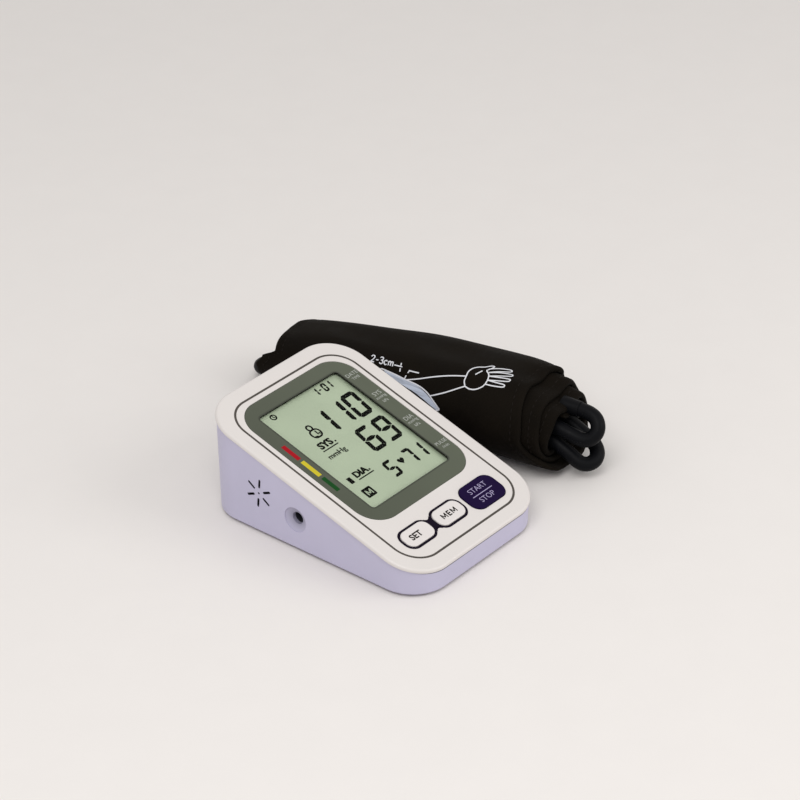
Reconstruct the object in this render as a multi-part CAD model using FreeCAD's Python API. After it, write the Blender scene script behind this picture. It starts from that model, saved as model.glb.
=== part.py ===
import FreeCAD, Part
import math
import os

# Desktop blood pressure monitor with a rolled arm cuff beside it, in millimetres.
# +X is the user's right, +Y points away from the user, +Z is up.
# The origin lies on the table under the middle of the monitor's case.

V = FreeCAD.Vector
X_DIR = V(1, 0, 0)
Y_DIR = V(0, 1, 0)
Z_DIR = V(0, 0, 1)

# Case and cover
COVER_W = 100.0          # width of the white cover
COVER_L = 143.0          # length of the cover along its slope
COVER_R = 21.0           # corner radius of the cover
COVER_T = 1.9            # thickness of the cover
COVER_EDGE_R = 1.3       # rounding of the cover's upper edge
FACE_TILT = 17.0         # slope of the face, degrees
FACE_FRONT_Z = 14.3      # height of the face at its front edge
OVERHANG = 0.3           # cover stands this far over the case
DRAFT = 1.2              # draft of the case walls, degrees
FOOT_GAP = 1.2           # underside of the case above the table
WALL = 2.0
FLOOR = 2.6
BOTTOM_EDGE_R = 1.2
RIBS_Y = [-30.0, -10.0]  # stiffening ribs across the floor
RIB_T, RIB_H = 1.2, 1.5
LIP_T = 1.2              # cover's inner lip
LIP_D = 2.4
FIT = 0.15               # clearance of parts pushed together
RUN_GAP = 0.3            # clearance of parts that slide

# Display
LENS_W, LENS_L, LENS_R, LENS_T = 77.0, 94.0, 14.0, 1.1
LENS_V = 83.4            # middle of the lens from the face's front edge
LCD_W, LCD_L, LCD_T = 64.0, 82.0, 1.9
LCD_V = 84.0
HOLDER_RIM = 3.0         # LCD holder's wall round the glass
BOARD_DEPTH = 8.0        # upper side of the main board below the face
BOARD_W, BOARD_T = 71.0, 1.6
BOARD_V0, BOARD_V1 = 9.0, 110.0
POSTS = [(-33.0, 34.8), (33.0, 34.8), (0.0, 10.0)]
POST_R = 2.2
CHIP_SIZE, CHIP_U, CHIP_V = 12.0, 10.0, 62.0

# Keys
START_W, START_L, START_R = 24.0, 16.2, 5.5
START_U, START_V = 23.4, 20.9
KEY_W, KEY_L, KEY_R = 18.9, 10.4, 4.2
KEY_V = 21.6
SET_U, MEM_U = -25.3, -1.8
FRAME_EDGE = 1.4         # dark frame seen round the two white keys
FRAME_RISE = 0.2         # its collar above the face
BRIDGE_L = 5.6           # neck of the frame between the two keys
KEY_RISE = 0.8
KEY_TRAVEL = 0.8
KEY_FLANGE = 1.2
KEY_FLANGE_T = 0.9
SWITCH_SIZE, SWITCH_H = 6.0, 2.8
PLUNGER_R = 1.6

# Left wall: speaker and air socket, as distances along Y and Z
SPEAKER_Y, SPEAKER_Z = 31.2, 23.4
SPEAKER_R, SPEAKER_T = 14.0, 4.6
SLOT_COUNT, SLOT_W = 6, 1.35
SLOT_R0, SLOT_R1 = 3.0, 8.1
SLOT_TURN = 36.0         # turn of the first slot from +Y, degrees
SLOT_WALL = 0.9          # wall left at the slots
JACK_Y, JACK_Z = 8.2, 17.7
JACK_BORE_R, JACK_BORE_L = 3.0, 9.0
JACK_WALL = 1.8
DISH_R, DISH_D, DISH_STEP = 6.7, 2.0, 0.5

# Cells and their bay
CELL_R, CELL_L = 7.1, 49.2
NUB_R, NUB_L = 2.75, 1.3
CELL_COUNT = 4
CELL_GAP = 0.45
CONTACT_L = 5.0          # room for the contacts at the two ends
BAY_WALL = 1.6
DOOR_T = 1.6
DOOR_LIP_H = 11.0
TONGUE_W, TONGUE_T = 1.3, 0.7

# Fasteners and feet
SCREW_R, SCREW_HEAD_R, SCREW_HEAD_T = 1.2, 2.8, 1.8
SCREW_LENGTH = 11.0
COLUMN_R, BOSS_R = 4.0, 3.2
SCREW_SEAT = 4.0         # plastic under the screw head
FRONT_SCREW_X_IN, FRONT_SCREW_Y_IN, FRONT_COLUMN_Z = 9.5, 21.5, 8.8
BACK_SCREW_X_IN, BACK_SCREW_Y_IN, BACK_COLUMN_Z = 11.5, 10.5, 30.0
FOOT_R, FOOT_SINK = 4.5, 0.8
FRONT_FOOT_X, FRONT_FOOT_Y_IN = 31.0, 12.5
BACK_FOOT_X_IN, BACK_FOOT_Y_IN = 9.5, 23.5

# Air system
PUMP_Y = 54.0
MOTOR_R, MOTOR_L, MOTOR_CAN = 9.0, 25.0, 1.0
MOTOR_X0 = 8.0
PUMP_HEAD_SIZE, PUMP_HEAD_L = 19.0, 19.0
SLEEVE_T, SLEEVE_L = 1.5, 5.0
SHAFT_R, SHAFT_FIT = 1.0, 0.05
BARB_R, BARB_L = 1.4, 6.0
TUBE_R, TUBE_BORE_R = 2.3, 1.6
VALVE_R, VALVE_L, VALVE_Y0 = 4.8, 18.0, 34.0
SENSOR_SIZE, SENSOR_H, SENSOR_U, SENSOR_V = 9.0, 5.0, -20.0, 52.0

# Power socket in the right wall
USB_Y, USB_W, USB_H, USB_L = 23.0, 8.9, 3.2, 7.3
POWER_BOARD_Z, POWER_BOARD_T = 9.0, 1.2

# Rolled cuff: its middle from the cover's right edge and along Y, and its turn from the monitor's -Y
CUFF_SIDE, CUFF_Y, CUFF_TURN = 34.6, 31.0, 8.0
CUFF_L = 148.0           # length of the roll, the cuff's width
STRIP_T, STRIP_GAP = 3.0, 0.3
CORE_R, CORE_FLAT = 9.5, 14.0
HALF_TURNS = 7
STRIP_TAIL = 10.0
FABRIC_T = 0.8
BLADDER_MARGIN = 8.0
BLADDER_HALF_TURNS = 4
HOSE_R = 3.8
PORT_L, PORT_R = 10.0, 4.6
PLUG_R, PLUG_L = 4.6, 18.0
PLUG_NOZZLE_L, PLUG_FIT = 9.0, 0.05

# Derived places
TILT = math.radians(FACE_TILT)
DRAFT_RATE = math.tan(math.radians(DRAFT))
BACK_Z = FACE_FRONT_Z + COVER_L * math.sin(TILT)
FACE_Y0 = -COVER_L / 2 * math.cos(TILT)
FLOOR_TOP = FOOT_GAP + FLOOR
FACE = FreeCAD.Placement(V(0, FACE_Y0, FACE_FRONT_Z), FreeCAD.Rotation(X_DIR, FACE_TILT))


def case_half_x(z, inset=0.0):
    """Half width of the drafted case at height z."""
    return COVER_W / 2 - OVERHANG - DRAFT_RATE * (BACK_Z - z) - inset


def case_half_y(z, inset=0.0):
    """Half depth of the drafted case at height z."""
    top = COVER_L / 2 * math.cos(TILT) + COVER_T * math.sin(TILT) - OVERHANG
    return top - DRAFT_RATE * (BACK_Z - z) - inset


def on_face(shape):
    """Moves a shape drawn flat, in face coordinates, onto the slope."""
    placed = shape.copy()
    placed.Placement = FACE.multiply(placed.Placement)
    return placed


def face_point(u, v, depth):
    """Place of a point given in face coordinates, depth below the face."""
    return FACE.multVec(V(u, v, -depth))


def rounded_rect(w, d, r, z=0.0, cx=0.0, cy=0.0):
    """Closed wire of a rectangle with round corners, in a level plane."""
    hx, hy = w / 2, d / 2
    k = r * (1 - math.sqrt(0.5))
    mids = [(hx - k, hy - k), (-hx + k, hy - k), (-hx + k, -hy + k), (hx - k, -hy + k)]
    starts = [(hx, hy - r), (-hx + r, hy), (-hx, -hy + r), (hx - r, -hy)]
    ends = [(hx - r, hy), (-hx, hy - r), (-hx + r, -hy), (hx, -hy + r)]

    def at(p):
        return V(cx + p[0], cy + p[1], z)

    edges = []
    for i in range(4):
        edges.append(Part.Arc(at(starts[i]), at(mids[i]), at(ends[i])).toShape())
        edges.append(Part.LineSegment(at(ends[i]), at(starts[(i + 1) % 4])).toShape())
    return Part.Wire(edges)


def plate(w, d, r, z0, z1, cx=0.0, cy=0.0):
    """Upright prism on a rounded rectangle."""
    return Part.Face(rounded_rect(w, d, r, z0, cx, cy)).extrude(V(0, 0, z1 - z0))


def block(x0, x1, y0, y1, z0, z1):
    return Part.makeBox(x1 - x0, y1 - y0, z1 - z0, V(x0, y0, z0))


def rod(x, y, z, direction, r, length):
    return Part.makeCylinder(r, length, V(x, y, z), direction)


def joined(shapes):
    """One solid from overlapping shapes, without seams between coplanar faces."""
    body = shapes[0]
    for shape in shapes[1:]:
        body = body.fuse(shape)
    return body.removeSplitter()


def without(body, shapes):
    for shape in shapes:
        body = body.cut(shape)
    return body


def edges_at(shape, z, tolerance=0.001):
    """Edges that lie whole in the level plane at z."""
    found = []
    for edge in shape.Edges:
        box = edge.BoundBox
        if abs(box.ZMin - z) < tolerance and abs(box.ZMax - z) < tolerance:
            found.append(edge)
    return found


def turned(points, point, axis):
    """Solid of revolution of an outline of (distance along the axis, radius) points."""
    x_dir = axis.normalize()
    side = Z_DIR if abs(x_dir.z) < 0.9 else X_DIR
    wire = Part.makePolygon([point + x_dir * a + side * r for a, r in points + points[:1]])
    return Part.Face(wire).revolve(point, x_dir, 360)


def wedge(inset, z0):
    """Drafted wedge inside the case's outer walls, from height z0 to above the cover."""
    wires = []
    for z in (z0, BACK_Z + 8.0):
        hx, hy = case_half_x(z, inset), case_half_y(z, inset)
        r = COVER_R - OVERHANG - DRAFT_RATE * (BACK_Z - z) - inset
        wires.append(rounded_rect(2 * hx, 2 * hy, r, z))
    return Part.makeLoft(wires, True, True)


def above_face(depth):
    """Everything above the plane that lies depth below the face."""
    reach = 2 * (COVER_W + COVER_L)
    return on_face(block(-reach, reach, -reach, reach, -depth, reach))


def outer_wedge():
    """Outside of the lower case, rounded along its lower edge."""
    body = wedge(0.0, FOOT_GAP)
    return body.makeFillet(BOTTOM_EDGE_R, edges_at(body, FOOT_GAP))


SCREWS = []
for side in (-1, 1):
    SCREWS.append((side * (COVER_W / 2 - FRONT_SCREW_X_IN), -case_half_y(0) + FRONT_SCREW_Y_IN, FRONT_COLUMN_Z))
    SCREWS.append((side * (COVER_W / 2 - BACK_SCREW_X_IN), case_half_y(0) - BACK_SCREW_Y_IN, BACK_COLUMN_Z))
FEET = []
for side in (-1, 1):
    FEET.append((side * FRONT_FOOT_X, -case_half_y(0) + FRONT_FOOT_Y_IN))
    FEET.append((side * (COVER_W / 2 - BACK_FOOT_X_IN), case_half_y(0) - BACK_FOOT_Y_IN))

# Bay of the cells: four lie side by side along Y, at the back, over the sliding door
CELL_PITCH = 2 * CELL_R + CELL_GAP
BAY_HALF = CELL_COUNT * CELL_PITCH / 2 + CELL_GAP / 2
BAY_OUT = BAY_HALF + BAY_WALL
DOOR_Z0 = FOOT_GAP + 0.05
DOOR_Z1 = DOOR_Z0 + DOOR_T
RECESS_Z = DOOR_Z1 + FIT
DOOR_HALF = BAY_OUT + 0.2
LIP_Y = case_half_y(FOOT_GAP) - WALL
BAY_Y1 = LIP_Y - RUN_GAP - BAY_WALL
BAY_Y0 = BAY_Y1 - CELL_L - NUB_L - CONTACT_L
CELL_Z = RECESS_Z + FIT + CELL_R
BAY_TOP = CELL_Z + CELL_R + CELL_GAP
ROOF_TOP = BAY_TOP + BAY_WALL

# Air system places
SLEEVE_R = MOTOR_R + 0.1 + SLEEVE_T
PUMP_Z = ROOF_TOP + SLEEVE_R + RUN_GAP
SLEEVES = [MOTOR_X0 + 4.0, MOTOR_X0 + MOTOR_L - 4.0 - SLEEVE_L]
JACK_X = -case_half_x(JACK_Z)
JACK_SEAT_X = JACK_X + 2 * DISH_D
JACK_BODY_R = JACK_BORE_R + JACK_WALL
JACK_LINE_X = JACK_SEAT_X + JACK_BORE_L - 2.5
VALVE_X = -BAY_OUT - VALVE_R - RUN_GAP
VALVE_Z = FLOOR_TOP + VALVE_R + 1.2
SENSOR_PORT = face_point(SENSOR_U - SENSOR_SIZE / 2, SENSOR_V, BOARD_DEPTH + BOARD_T + SENSOR_H / 2)
MANIFOLD_Y1 = SENSOR_PORT.y + 4.0
MANIFOLD_Y0 = SENSOR_PORT.y - 4.5
PUMP_LINE_X = JACK_LINE_X - 3.1
PUMP_LINE_Z = JACK_Z + 4.8
SPEAKER_X = -case_half_x(SPEAKER_Z, WALL) + 0.8


def speaker_slots():
    """Star of slots through the left wall, with a small hole in its middle and a recess behind it."""
    shapes = [rod(-COVER_W, SPEAKER_Y, SPEAKER_Z, X_DIR, SLOT_W * 0.45, COVER_W * 0.6)]
    inside = SLOT_WALL - case_half_x(SPEAKER_Z)
    shapes.append(rod(inside, SPEAKER_Y, SPEAKER_Z, X_DIR, SLOT_R1 + SLOT_WALL, WALL))
    for i in range(SLOT_COUNT):
        half = SLOT_W / 2
        bar = block(-COVER_W, -COVER_W * 0.4, SLOT_R0 + half, SLOT_R1 - half, -half, half)
        ends = [rod(-COVER_W, r, 0, X_DIR, half, COVER_W * 0.6) for r in (SLOT_R0 + half, SLOT_R1 - half)]
        slot = joined([bar] + ends)
        slot.rotate(V(0, 0, 0), X_DIR, SLOT_TURN + i * 360.0 / SLOT_COUNT)
        slot.translate(V(0, SPEAKER_Y, SPEAKER_Z))
        shapes.append(slot)
    return shapes


def lower_case():
    outside = outer_wedge()
    shell = without(outside, [above_face(COVER_T), wedge(WALL, FLOOR_TOP)])
    top = above_face(COVER_T)
    bay = block(-BAY_OUT, BAY_OUT, BAY_Y0 - BAY_WALL, BAY_Y1 + BAY_WALL, FOOT_GAP, ROOF_TOP)
    solids = [shell, bay]
    for x, y, z in SCREWS:
        solids.append(rod(x, y, FOOT_GAP, Z_DIR, COLUMN_R, z - FOOT_GAP))
    solids.append(rod(JACK_X + 0.5, JACK_Y, JACK_Z, X_DIR, DISH_R + 2.0, 2 * DISH_D - 0.5))
    ring = rod(JACK_X, SPEAKER_Y, SPEAKER_Z, X_DIR, SPEAKER_R + RUN_GAP + 1.4, SPEAKER_X + SPEAKER_T - JACK_X)
    solids.append(ring.cut(rod(JACK_X, SPEAKER_Y, SPEAKER_Z, X_DIR, SPEAKER_R + RUN_GAP, COVER_W / 2)))
    for x in SLEEVES:
        y0, y1 = PUMP_Y - SLEEVE_R, PUMP_Y + SLEEVE_R - 1.0
        saddle = block(x, x + SLEEVE_L, y0, y1, ROOF_TOP - 0.5, PUMP_Z - 4.0)
        solids.append(saddle.cut(rod(x - 1, PUMP_Y, PUMP_Z, X_DIR, SLEEVE_R + RUN_GAP, SLEEVE_L + 2)))
    x0, x1 = VALVE_X - VALVE_R + 1, VALVE_X + VALVE_R - 1
    saddle = block(x0, x1, VALVE_Y0 + 4, VALVE_Y0 + 12, FOOT_GAP, VALVE_Z - 2)
    solids.append(saddle.cut(rod(VALVE_X, VALVE_Y0, VALVE_Z, Y_DIR, VALVE_R + RUN_GAP, VALVE_L)))
    for x, y in power_posts():
        solids.append(rod(x, y, FOOT_GAP, Z_DIR, 2.0, POWER_BOARD_Z - FOOT_GAP))
    for y in RIBS_Y:
        rib = block(-COVER_W, COVER_W, y - RIB_T / 2, y + RIB_T / 2, FOOT_GAP, FLOOR_TOP + RIB_H)
        solids.append(rib.cut(block(-COVER_W, manifold_right(), y - 1, y + 1, 0, BACK_Z)))
    case = joined(solids).common(outside)
    cuts = [block(-BAY_HALF, BAY_HALF, BAY_Y0, BAY_Y1, 0, BAY_TOP)]
    cuts.append(block(-DOOR_HALF - RUN_GAP, DOOR_HALF + RUN_GAP, BAY_Y0 - BAY_WALL, COVER_L, 0, RECESS_Z))
    groove = DOOR_HALF + TONGUE_W + RUN_GAP
    cuts.append(block(-groove, groove, BAY_Y0 - BAY_WALL, COVER_L, DOOR_Z1 - TONGUE_T - FIT, RECESS_Z))
    lip = DOOR_HALF + RUN_GAP
    cuts.append(block(-lip, lip, LIP_Y - RUN_GAP, COVER_L, 0, FOOT_GAP + DOOR_LIP_H + RUN_GAP))
    for x, y, z in SCREWS:
        cuts.append(rod(x, y, 0, Z_DIR, SCREW_HEAD_R + RUN_GAP, z - SCREW_SEAT))
        cuts.append(rod(x, y, 0, Z_DIR, SCREW_R + 0.4, z + 1))
    for x, y in FEET:
        cuts.append(rod(x, y, 0, Z_DIR, FOOT_R + FIT, FOOT_GAP + FOOT_SINK))
    hole_r = JACK_BORE_R + 0.25
    cuts.append(rod(JACK_X - 1, JACK_Y, JACK_Z, X_DIR, DISH_R, DISH_STEP + 1))
    cuts.append(Part.makeCone(DISH_R, hole_r, DISH_D - DISH_STEP, V(JACK_X + DISH_STEP, JACK_Y, JACK_Z), X_DIR))
    cuts.append(rod(JACK_X, JACK_Y, JACK_Z, X_DIR, hole_r, 3 * DISH_D))
    cuts.extend(speaker_slots())
    usb = plate(USB_W + 2 * RUN_GAP, USB_H + 2 * RUN_GAP, USB_H / 2 + RUN_GAP - 0.05, 0, 2 * USB_L)
    usb.rotate(V(0, 0, 0), Y_DIR, 90)
    usb.rotate(V(0, 0, 0), X_DIR, 90)
    usb.translate(V(case_half_x(FLOOR_TOP) - USB_L, USB_Y, usb_z()))
    cuts.append(usb)
    return without(case, cuts + [top])


def key_opening(grow, depth0, depth1):
    """Joined outline of the two white keys and the neck between them, grown outwards."""
    w, d, r = KEY_W + 2 * grow, KEY_L + 2 * grow, KEY_R + grow
    keys = [plate(w, d, r, -depth1, -depth0, u, KEY_V) for u in (SET_U, MEM_U)]
    half = BRIDGE_L / 2 + grow - FRAME_EDGE
    neck = block(SET_U, MEM_U, KEY_V - half, KEY_V + half, -depth1, -depth0)
    return joined(keys + [neck])


def top_cover():
    face = plate(COVER_W, COVER_L, COVER_R, -COVER_T, 0, 0, COVER_L / 2)
    face = face.makeFillet(COVER_EDGE_R, edges_at(face, 0.0))
    pocket = plate(LENS_W + 2 * FIT, LENS_L + 2 * FIT, LENS_R + FIT, -LENS_T, 1, 0, LENS_V)
    window = plate(LCD_W - 3, LCD_L - 3, 2.0, -COVER_T - 1, 1, 0, LCD_V)
    start = plate(START_W + 2 * RUN_GAP, START_L + 2 * RUN_GAP, START_R + RUN_GAP, -5, 1, START_U, START_V)
    face = without(face, [pocket, window, start, key_opening(FRAME_EDGE, -1, 5)])
    lip = wedge(WALL + FIT, FLOOR_TOP).cut(wedge(WALL + FIT + LIP_T, FLOOR_TOP))
    lip = lip.cut(above_face(COVER_T - 0.4)).common(above_face(COVER_T + LIP_D))
    solids = [on_face(face), lip]
    pilots = []
    for x, y, z in SCREWS:
        solids.append(rod(x, y, z, Z_DIR, BOSS_R, BACK_Z).cut(above_face(COVER_T - 0.4)))
        pilots.append(rod(x, y, z - 1, Z_DIR, SCREW_R + 0.1, SCREW_LENGTH - SCREW_SEAT + 1.5))
    for u, v in POSTS:
        solids.append(on_face(rod(u, v, -BOARD_DEPTH, Z_DIR, POST_R, BOARD_DEPTH - COVER_T + 0.4)))
        pilots.append(on_face(rod(u, v, -BOARD_DEPTH - 1, Z_DIR, 0.9, 5.5)))
    return without(joined(solids), pilots)


def display_lens():
    lens = plate(LENS_W, LENS_L, LENS_R, -LENS_T, -0.05, 0, LENS_V)
    return on_face(lens.makeChamfer(0.15, edges_at(lens, -0.05)))


def lcd_panel():
    return on_face(plate(LCD_W, LCD_L, 0.5, -COVER_T - 0.2 - LCD_T, -COVER_T - 0.2, 0, LCD_V))


def lcd_holder():
    w, d = LCD_W + 2 * HOLDER_RIM, LCD_L + 2 * HOLDER_RIM
    glass_z = -COVER_T - 0.2 - LCD_T
    tray = plate(w, d, 3.0, -BOARD_DEPTH, -COVER_T, 0, LCD_V)
    pocket = plate(LCD_W + 2 * FIT, LCD_L + 2 * FIT, 0.6, glass_z, 1, 0, LCD_V)
    well = plate(LCD_W - 6, LCD_L - 16, 2.0, -BOARD_DEPTH + 1.0, 1, 0, LCD_V + 2)
    slot = zebra_box(0.15)
    return on_face(without(tray, [pocket, well, slot]))


def zebra_box(grow):
    """Bar between the glass's front edge and the main board."""
    v = LCD_V - LCD_L / 2 + 2.5
    half = LCD_W / 2 - 2
    glass_z = -COVER_T - 0.2 - LCD_T
    return block(-half - grow, half + grow, v - 1 - grow, v + 1 + grow, -BOARD_DEPTH, glass_z)


def main_board():
    d = BOARD_V1 - BOARD_V0
    board = plate(BOARD_W, d, 2.0, -BOARD_DEPTH - BOARD_T, -BOARD_DEPTH, 0, (BOARD_V0 + BOARD_V1) / 2)
    holes = [rod(u, v, -BOARD_DEPTH - 5, Z_DIR, 1.15, 10) for u, v in POSTS]
    return on_face(without(board, holes))


def microcontroller():
    """Square chip under the board, with bent leads on its four sides."""
    top = -BOARD_DEPTH - BOARD_T
    size, height, lead = CHIP_SIZE, 1.5, 1.1
    chip = plate(size, size, 0.4, top - height - 0.1, top - 0.1)
    solids = [chip]
    for k in range(4):
        for i in range(6):
            at = -size / 2 + 1.5 + i * (size - 3) / 5
            arm = block(size / 2 - 0.2, size / 2 + lead, at - 0.25, at + 0.25, top - 0.7, top - 0.45)
            foot = block(size / 2 + lead - 0.35, size / 2 + lead, at - 0.25, at + 0.25, top - 0.7, top)
            pin = arm.fuse(foot)
            pin.rotate(V(0, 0, 0), Z_DIR, 90.0 * k)
            solids.append(pin)
    chip = joined(solids)
    chip.translate(V(CHIP_U, CHIP_V, 0))
    return on_face(chip)


def pressure_sensor():
    top = -BOARD_DEPTH - BOARD_T
    body = plate(SENSOR_SIZE, SENSOR_SIZE, 1.0, top - SENSOR_H, top, SENSOR_U, SENSOR_V)
    port = rod(SENSOR_U, SENSOR_V, top - SENSOR_H / 2, -X_DIR, BARB_R, SENSOR_SIZE / 2 + BARB_L - 1)
    return on_face(body.fuse(port))


KEYS = {"start": (START_U, START_V), "mem": (MEM_U, KEY_V), "set": (SET_U, KEY_V)}
KEY_FOOT = 4.0                                # underside of the key flanges below the face
PLUNGER_TOP = BOARD_DEPTH - SWITCH_H - KEY_TRAVEL


def tact_switches():
    bodies = []
    for u, v in KEYS.values():
        body = plate(SWITCH_SIZE, SWITCH_SIZE, 0.5, -BOARD_DEPTH, -BOARD_DEPTH + SWITCH_H, u, v)
        bodies.append(body.cut(rod(u, v, -BOARD_DEPTH + 0.4, Z_DIR, PLUNGER_R + RUN_GAP, SWITCH_H)))
    return on_face(Part.makeCompound(bodies))


def plunger(name):
    u, v = KEYS[name]
    pin = rod(u, v, -PLUNGER_TOP - KEY_TRAVEL - 1.4, Z_DIR, PLUNGER_R, KEY_TRAVEL + 1.4)
    return on_face(pin)


def key_cap(name, w, d, r, flange_top):
    """Key with a rounded top edge, a flange that keeps it under the cover and a stem on its switch."""
    u, v = KEYS[name]
    cap = plate(w, d, r, -flange_top, KEY_RISE, u, v)
    cap = cap.makeFillet(0.55, edges_at(cap, KEY_RISE))
    flange = plate(w + 2 * KEY_FLANGE, d + 2 * KEY_FLANGE, r + KEY_FLANGE, -KEY_FOOT, -flange_top, u, v)
    stem = rod(u, v, -PLUNGER_TOP, Z_DIR, 2.2, PLUNGER_TOP - KEY_FOOT + 0.5)
    return on_face(joined([cap, flange, stem]))


def key_frame():
    """Dark frame under the cover whose collar fills the opening round the two white keys."""
    flange = key_opening(FRAME_EDGE + 0.6, COVER_T, COVER_T + 1.0)
    collar = key_opening(FRAME_EDGE - 0.1, -FRAME_RISE, COVER_T + 0.5)
    frame = joined([flange, collar])
    w, d, r = KEY_W + 2 * RUN_GAP, KEY_L + 2 * RUN_GAP, KEY_R + RUN_GAP
    holes = [plate(w, d, r, -9, 1, u, KEY_V) for u in (SET_U, MEM_U)]
    return on_face(without(frame, holes))


def board_screws():
    screws = []
    z = -BOARD_DEPTH - BOARD_T
    for u, v in POSTS:
        head = rod(u, v, z - 1.2, Z_DIR, 1.9, 1.2)
        screws.append(head.fuse(rod(u, v, z - 0.5, Z_DIR, 0.8, BOARD_T + 4.0)))
    return on_face(Part.makeCompound(screws))


def case_screws():
    screws = []
    for x, y, z in SCREWS:
        seat = z - SCREW_SEAT
        head = rod(x, y, seat - SCREW_HEAD_T, Z_DIR, SCREW_HEAD_R, SCREW_HEAD_T)
        head = head.cut(rod(x, y, seat - SCREW_HEAD_T - 1, Z_DIR, 1.1, 2.0))
        screws.append(head.fuse(rod(x, y, seat - 0.3, Z_DIR, SCREW_R, SCREW_LENGTH)))
    return Part.makeCompound(screws)


def rubber_feet():
    feet = []
    for x, y in FEET:
        pad = rod(x, y, 0, Z_DIR, FOOT_R, FOOT_GAP + FOOT_SINK)
        feet.append(pad.makeChamfer(0.4, edges_at(pad, 0.0)))
    return Part.makeCompound(feet)


def speaker_basket():
    """Dished frame: a rim against the wall's ring and a cup behind it."""
    outline = [(0, SPEAKER_R), (0, SPEAKER_R - 2), (0.8, SPEAKER_R - 2), (2.6, 8.0), (2.6, 5.6)]
    outline += [(3.4, 5.6), (3.4, 8.6), (1.6, SPEAKER_R - 1.2), (1.6, SPEAKER_R)]
    return turned(outline, V(SPEAKER_X, SPEAKER_Y, SPEAKER_Z), V(1, 0, 0))


def speaker_cone():
    outline = [(0.3, SPEAKER_R - 2.3), (0.6, SPEAKER_R - 2.3), (2.2, 4.6), (2.2, 0), (1.6, 0), (1.6, 4.4)]
    return turned(outline, V(SPEAKER_X, SPEAKER_Y, SPEAKER_Z), V(1, 0, 0))


def speaker_magnet():
    outline = [(3.4, 0), (3.4, 7.6), (6.4, 7.6), (6.4, 0)]
    return turned(outline, V(SPEAKER_X, SPEAKER_Y, SPEAKER_Z), V(1, 0, 0))


def air_jack():
    """Socket for the hose plug behind the dished hole, with an elbow nozzle towards the user."""
    x1 = JACK_SEAT_X + JACK_BORE_L + 1.2
    body = rod(JACK_SEAT_X, JACK_Y, JACK_Z, X_DIR, JACK_BODY_R, x1 - JACK_SEAT_X)
    flange = rod(JACK_SEAT_X, JACK_Y, JACK_Z, X_DIR, JACK_BODY_R + 1.7, 2.0)
    nozzle = rod(JACK_LINE_X, JACK_Y, JACK_Z, -Y_DIR, BARB_R, JACK_BODY_R + BARB_L - 1)
    bore = rod(JACK_SEAT_X - 1, JACK_Y, JACK_Z, X_DIR, JACK_BORE_R, JACK_BORE_L + 1)
    passage = rod(JACK_LINE_X, JACK_Y, JACK_Z, -Y_DIR, BARB_R - 0.6, JACK_BODY_R + BARB_L)
    return without(joined([body, flange, nozzle]), [bore, passage])


def manifold_right():
    """Right side of the manifold's foot, short of the cell bay's line."""
    return VALVE_X + BARB_R + 1.6


def air_manifold():
    """Stepped block on the floor that joins the four air lines."""
    left = PUMP_LINE_X - BARB_R - 1.2
    step = -BOARD_W / 2 - 0.7
    foot = block(left, manifold_right(), MANIFOLD_Y0, MANIFOLD_Y1, FLOOR_TOP, VALVE_Z + BARB_R + 1.6)
    tower = block(left, step, MANIFOLD_Y0, MANIFOLD_Y1, FLOOR_TOP, PUMP_LINE_Z + BARB_R + 1.0)
    barbs = []
    for x, z in ((VALVE_X, VALVE_Z), (JACK_LINE_X, JACK_Z), (PUMP_LINE_X, PUMP_LINE_Z)):
        barbs.append(rod(x, MANIFOLD_Y1 - 1, z, Y_DIR, BARB_R, BARB_L))
    barbs.append(rod(step - 1, SENSOR_PORT.y, SENSOR_PORT.z, X_DIR, BARB_R, BARB_L - 1.5))
    return joined([foot, tower] + barbs)


def route_edges(points):
    """Straight runs joined by tangent arcs, each as large as its two runs allow, with the radii."""
    edges, radii = [], []
    start = points[0]
    for i in range(1, len(points) - 1):
        before, corner, after = points[i - 1], points[i], points[i + 1]
        d0 = (before - corner).normalize()
        d1 = (after - corner).normalize()
        turn = math.pi - d0.getAngle(d1)
        back = 0.45 * min((before - corner).Length, (after - corner).Length)
        radius = back / math.tan(turn / 2)
        radii.append(radius)
        mid_dir = (d0 + d1).normalize()
        middle = corner + mid_dir * (radius / math.cos(turn / 2) - radius)
        edges.append(Part.LineSegment(start, corner + d0 * back).toShape())
        edges.append(Part.Arc(corner + d0 * back, middle, corner + d1 * back).toShape())
        start = corner + d1 * back
    edges.append(Part.LineSegment(start, points[-1]).toShape())
    return edges, radii


def swept(points, r):
    """Round bar along a route of runs and arcs."""
    edges, radii = route_edges(points)
    path = Part.Wire(edges)
    circle = Part.Wire(Part.makeCircle(r, points[0], points[1] - points[0]))
    return path.makePipeShell([circle], True, False), path.Length, radii


def air_tube(points):
    outside = swept(points, TUBE_R)[0]
    return outside.cut(swept(points, TUBE_BORE_R)[0])


def tube_jack():
    y0, y1 = MANIFOLD_Y1, JACK_Y - JACK_BODY_R - 0.3
    tube = rod(JACK_LINE_X, y0, JACK_Z, Y_DIR, TUBE_R, y1 - y0)
    return tube.cut(rod(JACK_LINE_X, y0 - 1, JACK_Z, Y_DIR, TUBE_BORE_R, y1 - y0 + 2))


def tube_valve():
    y0, y1 = MANIFOLD_Y1, VALVE_Y0
    tube = rod(VALVE_X, y0, VALVE_Z, Y_DIR, TUBE_R, y1 - y0)
    return tube.cut(rod(VALVE_X, y0 - 1, VALVE_Z, Y_DIR, TUBE_BORE_R, y1 - y0 + 2))


def tube_sensor():
    x0, x1 = -BOARD_W / 2 - 0.7, SENSOR_PORT.x
    tube = rod(x0, SENSOR_PORT.y, SENSOR_PORT.z, X_DIR, TUBE_R, x1 - x0)
    return tube.cut(rod(x0 - 1, SENSOR_PORT.y, SENSOR_PORT.z, X_DIR, TUBE_BORE_R, x1 - x0 + 2))


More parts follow.
